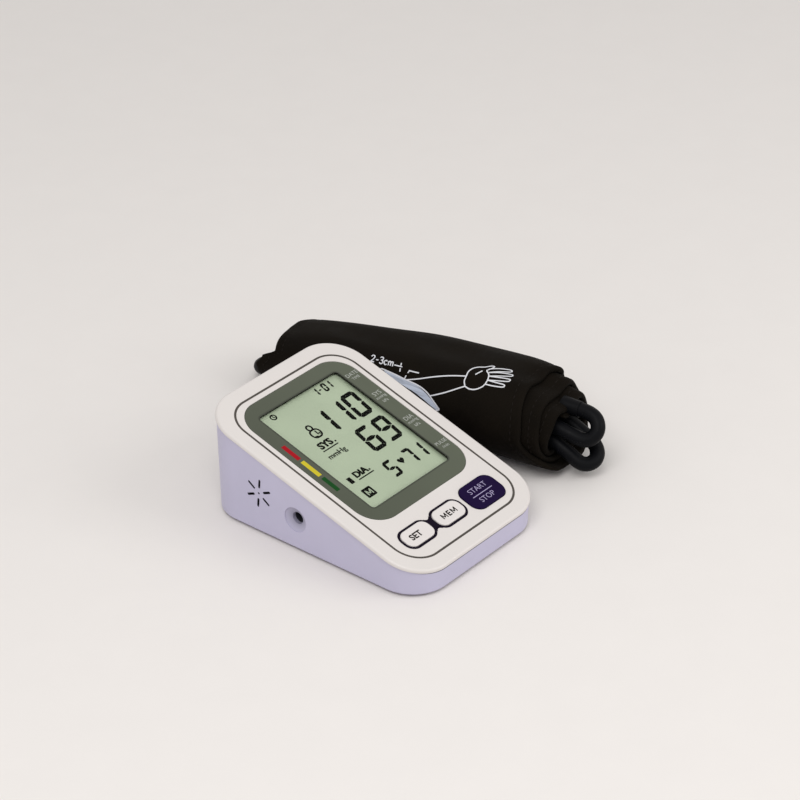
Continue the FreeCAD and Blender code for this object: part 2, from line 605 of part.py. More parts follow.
def tube_pump():
    head_x = MOTOR_X0 - PUMP_HEAD_L
    channel_x = -BOARD_W / 2 - TUBE_R - 0.7
    points = [V(head_x, PUMP_Y, PUMP_Z), V(head_x - 11, PUMP_Y, PUMP_Z)]
    points += [V(channel_x - 0.8, PUMP_Y - 9, SPEAKER_Z + 11), V(channel_x, JACK_Y + 5, JACK_Z + 16)]
    points += [V(PUMP_LINE_X, MANIFOLD_Y1 + 8, PUMP_LINE_Z), V(PUMP_LINE_X, MANIFOLD_Y1, PUMP_LINE_Z)]
    return air_tube(points)


def pump_motor():
    """Hollow motor can along X with a bearing hole at its front and a blind one at its back."""
    can = rod(MOTOR_X0, PUMP_Y, PUMP_Z, X_DIR, MOTOR_R, MOTOR_L)
    rim = [e for e in can.Edges if e.BoundBox.XLength < 0.001]
    can = can.makeChamfer(0.6, rim)
    inside = rod(MOTOR_X0 + 1.2, PUMP_Y, PUMP_Z, X_DIR, MOTOR_R - MOTOR_CAN, MOTOR_L - 3.2)
    bearing = rod(MOTOR_X0 - 1, PUMP_Y, PUMP_Z, X_DIR, SHAFT_R + SHAFT_FIT, MOTOR_L - 0.2)
    return without(can, [inside, bearing])


def motor_magnets():
    """Two field magnets, shells that line the can above and below."""
    x0, length = MOTOR_X0 + 4.0, MOTOR_L - 9.0
    ring = rod(x0, PUMP_Y, PUMP_Z, X_DIR, MOTOR_R - MOTOR_CAN - 0.1, length)
    ring = ring.cut(rod(x0 - 1, PUMP_Y, PUMP_Z, X_DIR, MOTOR_R - MOTOR_CAN - 1.2, length + 2))
    gap = block(x0 - 1, x0 + length + 1, PUMP_Y - MOTOR_R, PUMP_Y + MOTOR_R, PUMP_Z - 2, PUMP_Z + 2)
    return ring.cut(gap)


def motor_rotor():
    """Shaft with a three-pole armature and, in the pump head, the eccentric that works the pump."""
    shaft = rod(MOTOR_X0 - 8, PUMP_Y, PUMP_Z, X_DIR, SHAFT_R, MOTOR_L + 6.5)
    armature_r = MOTOR_R - MOTOR_CAN - 1.7
    armature = rod(MOTOR_X0 + 5.0, PUMP_Y, PUMP_Z, X_DIR, armature_r, MOTOR_L - 11.0)
    for i in range(3):
        slot = block(MOTOR_X0, MOTOR_X0 + MOTOR_L, PUMP_Y - 0.7, PUMP_Y + 0.7, PUMP_Z + 2.6, PUMP_Z + MOTOR_R)
        slot.rotate(V(0, PUMP_Y, PUMP_Z), X_DIR, 120.0 * i)
        armature = armature.cut(slot)
    eccentric = rod(MOTOR_X0 - 8, PUMP_Y, PUMP_Z + 1.2, X_DIR, 3.2, 5.0)
    return joined([shaft, armature, eccentric])


def pump_head():
    """Square head with round corners, the eccentric's chamber and the outlet nozzle."""
    head = plate(PUMP_HEAD_SIZE, PUMP_HEAD_SIZE, 4.0, 0, PUMP_HEAD_L)
    head = head.makeChamfer(0.8, edges_at(head, PUMP_HEAD_L))
    head.rotate(V(0, 0, 0), Y_DIR, -90)
    head.translate(V(MOTOR_X0, PUMP_Y, PUMP_Z))
    nozzle = rod(MOTOR_X0 - PUMP_HEAD_L + 1, PUMP_Y, PUMP_Z, -X_DIR, BARB_R, BARB_L)
    chamber = rod(MOTOR_X0 - 9, PUMP_Y, PUMP_Z, X_DIR, 6.0, 10)
    return head.fuse(nozzle).cut(chamber)


def pump_sleeves():
    rings = []
    for x in SLEEVES:
        ring = rod(x, PUMP_Y, PUMP_Z, X_DIR, SLEEVE_R, SLEEVE_L)
        rings.append(ring.cut(rod(x - 1, PUMP_Y, PUMP_Z, X_DIR, MOTOR_R + 0.1, SLEEVE_L + 2)))
    return Part.makeCompound(rings)


def release_valve():
    """Solenoid valve on its saddle, with the plunger's chamber inside."""
    body = rod(VALVE_X, VALVE_Y0, VALVE_Z, Y_DIR, VALVE_R, VALVE_L)
    rim = [e for e in body.Edges if e.BoundBox.YLength < 0.001]
    body = body.makeChamfer(0.5, rim)
    nozzle = rod(VALVE_X, VALVE_Y0 + 1, VALVE_Z, -Y_DIR, BARB_R, BARB_L)
    chamber = rod(VALVE_X, VALVE_Y0 + 2, VALVE_Z, Y_DIR, 2.4, VALVE_L - 6)
    return body.fuse(nozzle).cut(chamber)


def valve_plunger():
    return rod(VALVE_X, VALVE_Y0 + 2.2, VALVE_Z, Y_DIR, 2.1, VALVE_L - 8)


def cell_x(i):
    return (i - (CELL_COUNT - 1) / 2) * CELL_PITCH


def cell(i):
    """Round cell with its raised nub; neighbours lie the opposite way."""
    edge = 0.5
    outline = [(0, 0), (0, CELL_R - edge), (edge, CELL_R), (CELL_L - edge, CELL_R), (CELL_L, CELL_R - edge)]
    outline += [(CELL_L, NUB_R), (CELL_L + NUB_L, NUB_R), (CELL_L + NUB_L, 0)]
    if i % 2 == 0:
        return turned(outline, V(cell_x(i), BAY_Y0 + CONTACT_L - 0.7, CELL_Z), V(0, 1, 0))
    return turned(outline, V(cell_x(i), BAY_Y1 - CONTACT_L + 0.7, CELL_Z), V(0, -1, 0))


CONTACT_T = 0.4


def contact_springs():
    """Bowed leaf at each cell's flat end, springing off the bay's wall."""
    leaves = []
    for i in range(CELL_COUNT):
        wall, way = (BAY_Y0, 1) if i % 2 == 0 else (BAY_Y1, -1)
        x, reach = cell_x(i), CONTACT_L - 0.9
        outer = Part.Arc(V(x, wall, CELL_Z - 5), V(x, wall + way * reach, CELL_Z), V(x, wall, CELL_Z + 5))
        low = V(x, wall, CELL_Z - 5 + 1.2 * CONTACT_T)
        top = V(x, wall, CELL_Z + 5 - 1.2 * CONTACT_T)
        inner = Part.Arc(top, V(x, wall + way * (reach - CONTACT_T), CELL_Z), low)
        edges = [outer.toShape(), Part.makeLine(V(x, wall, CELL_Z + 5), top)]
        edges += [inner.toShape(), Part.makeLine(low, V(x, wall, CELL_Z - 5))]
        leaf = Part.Face(Part.Wire(edges)).extrude(V(7, 0, 0))
        leaf.translate(V(-3.5, 0, 0))
        leaves.append(leaf)
    return Part.makeCompound(leaves)


def contact_plates():
    """Flat plate on the bay's wall at each cell's nub."""
    plates = []
    for i in range(CELL_COUNT):
        y = BAY_Y1 - CONTACT_T if i % 2 == 0 else BAY_Y0
        plates.append(block(cell_x(i) - 5, cell_x(i) + 5, y, y + CONTACT_T, CELL_Z - 4, CELL_Z + 4))
    return Part.makeCompound(plates)


def battery_cover():
    """Door in the floor with a tongue along each side and a lip up the back wall; it slides out backwards."""
    front = BAY_Y0 - BAY_WALL + RUN_GAP
    door = block(-DOOR_HALF, DOOR_HALF, front, COVER_L, DOOR_Z0, DOOR_Z1)
    wide = DOOR_HALF + TONGUE_W
    tongues = block(-wide, wide, front, LIP_Y - 2, DOOR_Z1 - TONGUE_T, DOOR_Z1)
    lip = block(-DOOR_HALF, DOOR_HALF, LIP_Y, COVER_L, DOOR_Z0, FOOT_GAP + DOOR_LIP_H)
    body = joined([door, tongues, lip]).common(outer_wedge())
    grips = []
    for i in range(4):
        y = LIP_Y - 6 - 2.4 * i
        grips.append(block(-9, 9, y - 0.5, y + 0.5, 0, DOOR_Z0 + 0.5))
    return without(body, grips)


def power_posts():
    x0, x1 = BAY_OUT + 4.5, case_half_x(FLOOR_TOP, WALL) - 3.5
    return [(x0, USB_Y - 8.0), (x1, USB_Y + 8.0)]


def usb_z():
    return POWER_BOARD_Z + POWER_BOARD_T + USB_H / 2


def power_board():
    x0, x1 = BAY_OUT + 1.5, case_half_x(FLOOR_TOP, WALL) - 0.6
    top = POWER_BOARD_Z + POWER_BOARD_T
    return plate(x1 - x0, 22.0, 1.0, POWER_BOARD_Z, top, (x0 + x1) / 2, USB_Y)


def usb_socket():
    """Rounded metal shell with a contact tongue, open towards the right wall."""
    shell = plate(USB_W, USB_H, USB_H / 2 - 0.05, 0, USB_L)
    hollow = plate(USB_W - 0.6, USB_H - 0.6, USB_H / 2 - 0.35, 1.0, USB_L + 1)
    tongue = block(-3.3, 3.3, -0.35, 0.35, 0.5, USB_L - 1)
    socket = shell.cut(hollow).fuse(tongue)
    socket.rotate(V(0, 0, 0), Y_DIR, 90)
    socket.rotate(V(0, 0, 0), X_DIR, 90)
    socket.translate(V(case_half_x(usb_z()) - 0.4 - USB_L, USB_Y, usb_z()))
    return socket


# Rolled cuff, drawn in the plane across the roll: p away from the monitor, q up, s along the roll to the user
HALF_PITCH = (STRIP_T + STRIP_GAP) / 2
CUFF_MIDDLE_Z = CORE_R + (HALF_TURNS - 1) * HALF_PITCH + STRIP_T
CUFF_YAW = FreeCAD.Rotation(Z_DIR, CUFF_TURN)
CUFF_STAND = FreeCAD.Rotation(X_DIR, 90)
CUFF_BASE = V(COVER_W / 2 + CUFF_SIDE, CUFF_Y, CUFF_MIDDLE_Z)
CUFF = FreeCAD.Placement(CUFF_BASE, CUFF_YAW.multiply(CUFF_STAND))


def in_cuff(p, q, s):
    """Point of the cuff's own frame in the part's frame."""
    return CUFF.multVec(V(p, q, s))


def strip_side(offset, first, last, lead, tail):
    """One side of the wound strip, at offset from its inner face: half circles on two centres and flats."""
    edges = []
    for k in range(first, last + 1):
        r = CORE_R + k * HALF_PITCH + offset
        way = 1 if k % 2 == 0 else -1
        x, y = way * CORE_FLAT / 2, 0.0 if k % 2 == 0 else HALF_PITCH
        enter, leave = V(x, y + way * r, 0), V(x, y - way * r, 0)
        flat = lead if k == first else CORE_FLAT
        edges.append(Part.LineSegment(enter - V(way * flat, 0, 0), enter).toShape())
        edges.append(Part.Arc(enter, V(x + way * r, y, 0), leave).toShape())
    edges.append(Part.LineSegment(leave, leave - V(way * tail, 0, 0)).toShape())
    return edges


def wound_strip(d0, d1, first, last, lead, tail, s0, s1):
    """Strip between two offsets, wound into the roll, from s0 to s1 along it."""
    inner = strip_side(d0, first, last, lead, tail)
    outer = strip_side(d1, first, last, lead, tail)
    start = Part.LineSegment(inner[0].Vertexes[0].Point, outer[0].Vertexes[0].Point).toShape()
    end = Part.LineSegment(inner[-1].Vertexes[-1].Point, outer[-1].Vertexes[-1].Point).toShape()
    wire = Part.Wire(Part.__sortEdges__(inner + outer + [start, end]))
    strip = Part.Face(wire).extrude(V(0, 0, s1 - s0))
    strip.translate(V(0, 0, s0))
    strip.Placement = CUFF.multiply(strip.Placement)
    return strip


def bladder_strip(gap):
    """Flat air bag between the two fabrics of the first turns of the strip."""
    half = CUFF_L / 2 - BLADDER_MARGIN - gap
    d0, d1 = FABRIC_T + gap, STRIP_T - FABRIC_T - gap
    return wound_strip(d0, d1, 0, BLADDER_HALF_TURNS - 1, CORE_FLAT - 2 - gap, CORE_FLAT - 4 - gap, -half, half)


def cuff_sleeve():
    strip = wound_strip(0, STRIP_T, 0, HALF_TURNS - 1, CORE_FLAT, STRIP_TAIL, -CUFF_L / 2, CUFF_L / 2)
    return strip.cut(bladder_strip(0.0))


def cuff_bladder():
    return bladder_strip(0.12)


# The port sits on the strip's first layer; the route's points are (p, q, s)
PORT_P, PORT_Q = 2.0, CORE_R + STRIP_T / 2
SEAM = 0.05              # glue line between the hose and the pieces on its ends
HOSE_ROUTE = [(PORT_P, PORT_Q, CUFF_L / 2 + PORT_L + SEAM), (PORT_P, PORT_Q, 92.0), (-2.2, 5.0, 97.2)]
HOSE_ROUTE += [(-6.6, -1.0, 92.8), (-7.0, 1.6, 81.5), (-7.2, 4.9, 68.5), (-7.2, 4.6, 45.0), (-7.0, 4.1, 20.0)]
HOSE_ROUTE += [(-7.0, 4.2, -34.0), (-7.4, 1.0, -54.0), (-8.4, -4.4, -75.0), (-9.8, -11.0, -88.5)]
HOSE_ROUTE += [(-10.3, -14.2, -97.6), (-6.6, -15.6, -102.0), (-1.2, -16.7, -102.0), (2.5, -16.4, -97.6)]
HOSE_ROUTE += [(3.0, -12.2, -87.0), (4.4, -4.3, -74.6), (5.4, -1.2, -54.0), (5.5, 0.6, -18.0), (5.5, 0.2, 25.0)]
HOSE_ROUTE += [(5.5, 1.2, 52.0), (5.5, 2.6, 71.0), (5.6, -4.2, 84.0), (5.4, -9.4, 92.4), (-0.9, -13.4, 95.8)]
HOSE_ROUTE += [(-7.4, -14.8, 91.2), (-7.4, -9.2, 82.5), (-7.3, -3.4, 70.5), (-7.0, -4.9, 47.0)]
HOSE_ROUTE += [(-7.0, -4.6, 22.0), (-7.0, -4.6, -5.0)]


def hose():
    """Air hose: leaves its port, folds at the roll's end, and runs through the core to its plug."""
    points = [in_cuff(*p) for p in HOSE_ROUTE]
    tube, length, radii = swept(points, HOSE_R)
    fill = tube.Volume / (math.pi * HOSE_R ** 2 * length)
    print("hose length", round(length, 1), "volume over section times length", round(fill, 4))
    print("hose radii", [round(r, 1) for r in radii])
    return tube


def hose_port():
    """Tapered sleeve where the hose leaves the cuff's edge."""
    outline = [(0, 0), (0, PORT_R), (2.0, PORT_R), (PORT_L, HOSE_R + 0.3), (PORT_L, 0)]
    base = in_cuff(PORT_P, PORT_Q, CUFF_L / 2)
    return turned(outline, base, in_cuff(0, 0, 1) - in_cuff(0, 0, 0))


def hose_plug():
    """Grip with rings and the nozzle that enters the air jack."""
    nozzle_r = JACK_BORE_R - PLUG_FIT
    outline = [(0, 0), (0, HOSE_R + 0.4), (3, PLUG_R - 0.4)]
    for i in range(2):
        start = 5 + 5 * i
        outline += [(start, PLUG_R - 0.4), (start + 0.6, PLUG_R)]
        outline += [(start + 2.6, PLUG_R), (start + 3.2, PLUG_R - 0.4)]
    outline += [(PLUG_L, PLUG_R - 0.4), (PLUG_L, nozzle_r)]
    outline += [(PLUG_L + PLUG_NOZZLE_L - 0.5, nozzle_r), (PLUG_L + PLUG_NOZZLE_L, nozzle_r - 0.5)]
    outline += [(PLUG_L + PLUG_NOZZLE_L, 0)]
    last, before = in_cuff(*HOSE_ROUTE[-1]), in_cuff(*HOSE_ROUTE[-2])
    way = (last - before).normalize()
    return turned(outline, last + way * SEAM, way)


def build():
    """Every node of the part, by name."""
    nodes = {
        "lower_case": lower_case(),
        "top_cover": top_cover(),
        "display_lens": display_lens(),
        "lcd_panel": lcd_panel(),
        "lcd_holder": lcd_holder(),
        "zebra_strip": on_face(zebra_box(0.0)),
        "main_board": main_board(),
        "microcontroller": microcontroller(),
        "pressure_sensor": pressure_sensor(),
        "tact_switches": tact_switches(),
        "key_frame": key_frame(),
        "start_button": key_cap("start", START_W, START_L, START_R, COVER_T + 0.2),
        "board_screws": board_screws(),
        "case_screws": case_screws(),
        "rubber_feet": rubber_feet(),
        "speaker_basket": speaker_basket(),
        "speaker_cone": speaker_cone(),
        "speaker_magnet": speaker_magnet(),
        "air_jack": air_jack(),
        "air_manifold": air_manifold(),
        "tube_jack": tube_jack(),
        "tube_valve": tube_valve(),
        "tube_sensor": tube_sensor(),
        "tube_pump": tube_pump(),
        "pump_motor": pump_motor(),
        "motor_magnets": motor_magnets(),
        "motor_rotor": motor_rotor(),
        "pump_head": pump_head(),
        "pump_sleeves": pump_sleeves(),
        "release_valve": release_valve(),
        "valve_plunger": valve_plunger(),
        "contact_springs": contact_springs(),
        "contact_plates": contact_plates(),
        "battery_cover": battery_cover(),
        "power_board": power_board(),
        "usb_socket": usb_socket(),
        "cuff_sleeve": cuff_sleeve(),
        "cuff_bladder": cuff_bladder(),
        "hose_port": hose_port(),
        "hose": hose(),
        "hose_plug": hose_plug(),
    }
    for name in ("mem", "set"):
        nodes[name + "_button"] = key_cap(name, KEY_W, KEY_L, KEY_R, KEY_FOOT - KEY_FLANGE_T)
    for name in KEYS:
        nodes[name + "_plunger"] = plunger(name)
    for i in range(CELL_COUNT):
        nodes["cell_%d" % (i + 1)] = cell(i)
    return nodes


os.makedirs("parts", exist_ok=True)
for node_name, shape in build().items():
    print(node_name, shape.isValid(), len(shape.Solids), round(shape.Volume, 1))
    shape.exportStep("parts/%s.step" % node_name)
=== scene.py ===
"""Looks of a desktop blood pressure monitor with its rolled arm cuff, laid out as an add-on.

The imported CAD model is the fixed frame. Lengths are millimetres up to the point where a mesh is made,
and metres from there on, as in the frame. Lengths in shaders are metres, or millimetres on the sloped face.
"""

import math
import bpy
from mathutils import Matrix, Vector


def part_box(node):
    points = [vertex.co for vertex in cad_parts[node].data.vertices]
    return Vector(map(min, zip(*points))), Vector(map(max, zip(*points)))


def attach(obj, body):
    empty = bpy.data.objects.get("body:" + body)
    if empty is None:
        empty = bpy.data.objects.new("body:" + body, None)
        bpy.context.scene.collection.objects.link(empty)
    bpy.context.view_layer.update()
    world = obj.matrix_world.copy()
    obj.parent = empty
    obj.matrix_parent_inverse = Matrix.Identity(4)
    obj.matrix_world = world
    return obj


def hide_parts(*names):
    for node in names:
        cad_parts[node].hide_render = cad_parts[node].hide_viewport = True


bl_info = {
    "name": "Blood Pressure Monitor",
    "version": (1, 0, 0),
    "blender": (4, 5, 0),
    "location": "3D View > Sidebar > Monitor",
    "description": "Finishes, display, lettering, rolled cuff and hose of a desktop blood pressure monitor",
    "category": "Add Mesh",
}

import bmesh
import bpy
import numpy as np
from bpy.props import FloatProperty, FloatVectorProperty, PointerProperty, StringProperty
from mathutils import Vector

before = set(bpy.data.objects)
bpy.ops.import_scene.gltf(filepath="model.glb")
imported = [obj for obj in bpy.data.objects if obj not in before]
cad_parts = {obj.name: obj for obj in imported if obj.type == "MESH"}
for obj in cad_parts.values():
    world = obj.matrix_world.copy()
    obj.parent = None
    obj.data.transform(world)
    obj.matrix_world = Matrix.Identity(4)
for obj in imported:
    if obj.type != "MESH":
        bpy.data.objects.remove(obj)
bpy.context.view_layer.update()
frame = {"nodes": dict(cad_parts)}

MM = 0.001
MERGE = 1e-6             # points closer than this are one, in metres

# Sloped face of the cover: u to the user's right, v up the slope, w out of the face
COVER_L, COVER_T = 143.0, 1.9
FACE_TILT = math.radians(17.0)
FACE_COS, FACE_SIN = math.cos(FACE_TILT), math.sin(FACE_TILT)
FACE_Y0, FACE_Z0 = -COVER_L / 2 * FACE_COS, 14.3
LENS_TOP, LCD_TOP, KEY_TOP = -0.05, -2.1, 0.8
PRINT_T = 0.03           # thickness of a printed layer
PRINT_GAP = 0.005        # printed layers start this far above their ground

# Drafted left wall: the middles of its star of slots and of the air socket's dish on its outside, in metres
WALL_DRAFT = math.tan(math.radians(1.2))
SPEAKER_MIDDLE = (-0.049016, 0.0312, 0.0234)
JACK_MIDDLE = (-0.048895, 0.0082, 0.0177)

# Window in the mask of the display, and the thin line printed round the whole face
WINDOW_U0, WINDOW_U1, WINDOW_V0, WINDOW_V1, WINDOW_R = -29.4, 28.5, 46.1, 121.8, 2.0
LINE_HALF_U, LINE_V0, LINE_V1, LINE_R, LINE_W = 41.8, 7.9, 133.9, 14.5, 1.15

# Seen at an angle through the lens, the glass of the display lies below the mask,
# so a mark read off the mask's level is moved by this much on the glass
LCD_SHIFT_U, LCD_SHIFT_V = 2.15, 1.19

# Rolled cuff: p away from the monitor, q up, s along the roll towards the user
CUFF_TURN = math.radians(8.0)
CUFF_X, CUFF_Y, CUFF_Z = 84.6, 31.0, 22.4
STRIP_W, STRIP_T, STRIP_GAP = 148.0, 3.0, 0.3
CORE_R, CORE_FLAT = 9.5, 14.0
HALF_TURNS, STRIP_TAIL = 7, 10.0
HALF_PITCH = (STRIP_T + STRIP_GAP) / 2
BLADDER_W, BLADDER_T = 131.8, 1.16
BLADDER_START, BLADDER_HALF_TURNS, BLADDER_TAIL = 2.1, 4, 9.9

# Hose: control points (p, q, s) of its line, from the port on the cuff to the plug
HOSE_ROUTE = [
    (2.0, 11.0, 84.05), (2.0, 11.0, 92.0), (-2.2, 5.0, 97.2), (-6.6, -1.0, 92.8), (-7.0, 1.6, 81.5),
    (-7.2, 4.9, 68.5), (-7.2, 4.6, 45.0), (-7.0, 4.1, 20.0), (-7.0, 4.2, -34.0), (-7.4, 1.0, -54.0),
    (-8.4, -4.4, -75.0), (-9.8, -11.0, -88.5), (-10.3, -14.2, -97.6), (-6.6, -15.6, -102.0),
    (-1.2, -16.7, -102.0), (2.5, -16.4, -97.6), (3.0, -12.2, -87.0), (4.4, -4.3, -74.6), (5.4, -1.2, -54.0),
    (5.5, 0.6, -18.0), (5.5, 0.2, 25.0), (5.5, 1.2, 52.0), (5.5, 2.6, 71.0), (5.6, -4.2, 84.0),
    (5.4, -9.4, 92.4), (-0.9, -13.4, 95.8), (-7.4, -14.8, 91.2), (-7.4, -9.2, 82.5), (-7.3, -3.4, 70.5),
    (-7.0, -4.9, 47.0), (-7.0, -4.6, 22.0), (-7.0, -4.6, -5.0),
]


def linear(r, g, b):
    """Screen colour of 0 to 255 as the linear colour that shaders use."""
    c = np.array([r, g, b]) / 255.0
    c = np.where(c <= 0.04045, c / 12.92, ((c + 0.055) / 1.055) ** 2.4)
    return tuple(float(x) for x in c)


def shade(colour, factor=1.0):
    """Opaque colour, made darker or lighter by a factor."""
    return (*(c * factor for c in colour[:3]), 1.0)


# Settings


def colour_setting(name, description, *screen):
    """Colour that can be changed, with a screen colour of 0 to 255 as its default."""
    return FloatVectorProperty(name=name, description=description, default=linear(*screen), subtype="COLOR")


class StageSettings(bpy.types.PropertyGroup):
    azimuth: FloatProperty(name="Azimuth", description="Camera's angle round the object",
                           default=math.radians(-50.72), subtype="ANGLE")
    elevation: FloatProperty(name="Elevation", description="Camera's angle above the table",
                             default=math.radians(30.91), subtype="ANGLE")
    distance: FloatProperty(name="Distance", description="From the camera to the point that it looks at",
                            default=1.4694, unit="LENGTH")
    target: FloatVectorProperty(name="Target", description="Point that the camera looks at",
                                default=(0.03015, 0.00825, 0.0477), subtype="XYZ")
    lens: FloatProperty(name="Lens", description="Focal length in millimetres", default=135.0)
    floor: colour_setting("Floor", "Colour of the floor and the background", 234, 229, 225)
    key: FloatProperty(name="Key light", description="Power of the large soft lamp", default=8.1, unit="POWER")
    fill: FloatProperty(name="Fill light", description="Power of the lamp on the other side",
                        default=5.0, unit="POWER")
    sky: FloatProperty(name="Sky", description="Strength of the even light from all round", default=0.62)


class HousingSettings(bpy.types.PropertyGroup):
    cover: colour_setting("Cover", "Warm white of the cover", 220, 214, 210)
    case: colour_setting("Case", "Lavender of the lower case", 192, 188, 211)
    line: colour_setting("Face line", "Thin line printed round the face", 84, 79, 74)


class DisplaySettings(bpy.types.PropertyGroup):
    systolic: StringProperty(name="Upper reading", description="Three figures of the first row", default="110")
    diastolic: StringProperty(name="Lower reading", description="Two figures of the second row", default="69")
    pulse: StringProperty(name="Pulse", description="Two figures at the right of the last row", default="71")
    memory: StringProperty(name="Memory place", description="Figure at the left of the last row", default="5")
    mask: colour_setting("Mask", "Print on the back of the lens", 78, 84, 69)
    glass: colour_setting("Display ground", "Grey-green of the display", 183, 197, 169)
    ink: colour_setting("Segments", "Dark segments of the display", 4, 6, 4)


class KeySettings(bpy.types.PropertyGroup):
    start: colour_setting("Start key", "Indigo of the large key", 25, 10, 52)
    white: colour_setting("Small keys", "White of the two small keys", 222, 216, 213)
    frame: colour_setting("Key frame", "Dark outline round the small keys", 19, 10, 28)


class CuffSettings(bpy.types.PropertyGroup):
    taper: FloatProperty(name="Taper", description="How much of the roll's uneven thickness is shown", default=1.0)
    ripple: FloatProperty(name="Ripple", description="Waviness of the near end against the roll's size",
                          default=0.02)
    fabric: colour_setting("Fabric", "Black of the nylon", 19, 15, 10)
    ink: colour_setting("Print", "White print on the fabric", 226, 226, 230)
    rim: colour_setting("Pale print", "Edge of the printed cuff", 204, 212, 226)
    hose: colour_setting("Hose", "Dark rubber of the hose", 13, 14, 17)
    hose_diameter: FloatProperty(name="Hose diameter", description="Outside diameter of the hose",
                                 default=0.0076, unit="LENGTH")


SETTINGS = {
    "monitor_stage": StageSettings,
    "monitor_housing": HousingSettings,
    "monitor_display": DisplaySettings,
    "monitor_keys": KeySettings,
    "monitor_cuff": CuffSettings,
}


# Places


def on_face(u, v, w):
    """Points of the sloped face in the frame: u along X, v up the slope, w along its normal."""
    u, v, w = np.broadcast_arrays(u, v, w)
    y, z = FACE_Y0 + v * FACE_COS - w * FACE_SIN, FACE_Z0 + v * FACE_SIN + w * FACE_COS
    return np.stack([u, y, z], axis=-1) * MM


def on_glass(u, v, w):
    """Points on the display's glass that are seen at (u, v) of the mask."""
    return on_face(u + LCD_SHIFT_U, v + LCD_SHIFT_V, w)


def in_cuff(p, q, s):
    """Points of the cuff's own axes in the frame: p and s turned about the vertical by the cuff's angle."""
    c, n = math.cos(CUFF_TURN), math.sin(CUFF_TURN)
    p, q, s = np.broadcast_arrays(p, q, s)
    return np.stack([CUFF_X + p * c + s * n, CUFF_Y + p * n - s * c, CUFF_Z + q], axis=-1) * MM


def eased(x):
    """Smooth step from 0 to 1 over x from 0 to 1."""
    x = np.clip(x, 0.0, 1.0)
    return x * x * (3 - 2 * x)


# Meshes


def placed(name, data):
    """New object in the scene."""
    made = bpy.data.objects.new(name, data)
    bpy.context.scene.collection.objects.link(made)
    return made


def piece(name, parts, material, body, uv=None, smooth=False):
    """Closed mesh from pairs of points and faces, with doubles merged and faces outwards, riding on a body."""
    points, faces, count = [], [], 0
    for some, sides in parts:
        points.append(np.reshape(some, (-1, 3)))
        faces += [[count + k for k in side] for side in sides]
        count += len(points[-1])
    mesh = bpy.data.meshes.new(name)
    mesh.from_pydata(np.concatenate(points).tolist(), [], faces)
    if uv is not None:
        corner = np.zeros(len(mesh.loops), np.int32)
        mesh.loops.foreach_get("vertex_index", corner)
        mesh.uv_layers.new(name="strip").data.foreach_set("uv", uv[corner].astype(np.float32).ravel())
    work = bmesh.new()
    work.from_mesh(mesh)
    bmesh.ops.remove_doubles(work, verts=work.verts, dist=MERGE)
    bmesh.ops.recalc_face_normals(work, faces=work.faces)
    work.to_mesh(mesh)
    work.free()
    mesh.polygons.foreach_set("use_smooth", np.full(len(mesh.polygons), smooth))
    mesh.materials.append(material)
    made = placed(name, mesh)
    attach(made, body)
    return made


def grid_faces(rows, columns, closed_rows=False):
    """Four-sided faces of a grid of points whose columns join up round, and whose rows may."""
    i = np.arange(rows if closed_rows else rows - 1)[:, None]
    j = np.arange(columns)[None, :]
    i1, j1 = (i + 1) % rows, (j + 1) % columns
    corners = [i * columns + j, i1 * columns + j, i1 * columns + j1, i * columns + j1]
    return np.stack(np.broadcast_arrays(*corners), axis=-1).reshape(-1, 4).tolist()


def band(path, half_width, base, place, thick=PRINT_T, closed=False):
    """Thin stroke: a rectangle twice half_width wide and thick high, carried along a flat path.
    Its four corners lie across the path's own direction at each point."""
    path = np.asarray(path, float)
    half = np.broadcast_to(np.asarray(half_width, float), len(path))[:, None]
    ahead = np.roll(path, -1, 0) - np.roll(path, 1, 0) if closed else np.gradient(path, axis=0)
    ahead = ahead / np.linalg.norm(ahead, axis=1, keepdims=True)
    across = np.stack([-ahead[:, 1], ahead[:, 0]], axis=1) * half
    flat = np.stack([path - across, path + across, path + across, path - across], axis=1)
    points = place(flat[..., 0], flat[..., 1], base + np.array([0.0, 0.0, thick, thick]))
    faces = grid_faces(len(path), 4, closed)
    if not closed:
        last = 4 * len(path) - 4
        faces += [[0, 1, 2, 3], [last, last + 1, last + 2, last + 3]]
    return points, faces


def disc(outline, base, place):
    """Flat filled shape: its outline at two levels, each level closed by rays to the outline's middle."""
    outline = np.asarray(outline, float)
    middle = np.broadcast_to(outline.mean(0), outline.shape)
    flat = np.stack([middle, outline, outline, middle])
    level = base + np.array([0.0, 0.0, PRINT_T, PRINT_T])[:, None]
    return place(flat[..., 0], flat[..., 1], level), grid_faces(4, len(outline))


def arc(cu, cv, ru, rv, start, end, count=24):
    """Points of an ellipse's arc between two angles in degrees."""
    a = np.radians(np.linspace(start, end, count))
    return np.stack([cu + ru * np.cos(a), cv + rv * np.sin(a)], axis=1)


def drawn(points, steps=6):
    """Smooth line through the points: between two of them a cubic whose slopes follow the points beside them."""
    p = np.asarray(points, float)
    wide = np.vstack([2 * p[0] - p[1], p, 2 * p[-1] - p[-2]])
    a, b, c, d = (wide[i:len(p) - 1 + i, None] for i in range(4))
    x = np.linspace(0, 1, steps, endpoint=False)[None, :, None]
    way = b + 0.5 * x * (c - a + x * (2 * a - 5 * b + 4 * c - d + x * (3 * b - a - 3 * c + d)))
    return np.vstack([way.reshape(-1, 2), p[-1:]])


def rounded(u0, u1, v0, v1, r, count=12):
    """Closed outline of a rectangle with round corners."""
    corners = [(u1 - r, v1 - r, 0), (u0 + r, v1 - r, 90), (u0 + r, v0 + r, 180), (u1 - r, v0 + r, 270)]
    return np.concatenate([arc(cu, cv, r, r, a, a + 90, count) for cu, cv, a in corners])


# Lettering and figures

CAPITAL = 0.7            # height of a capital letter against the font's size


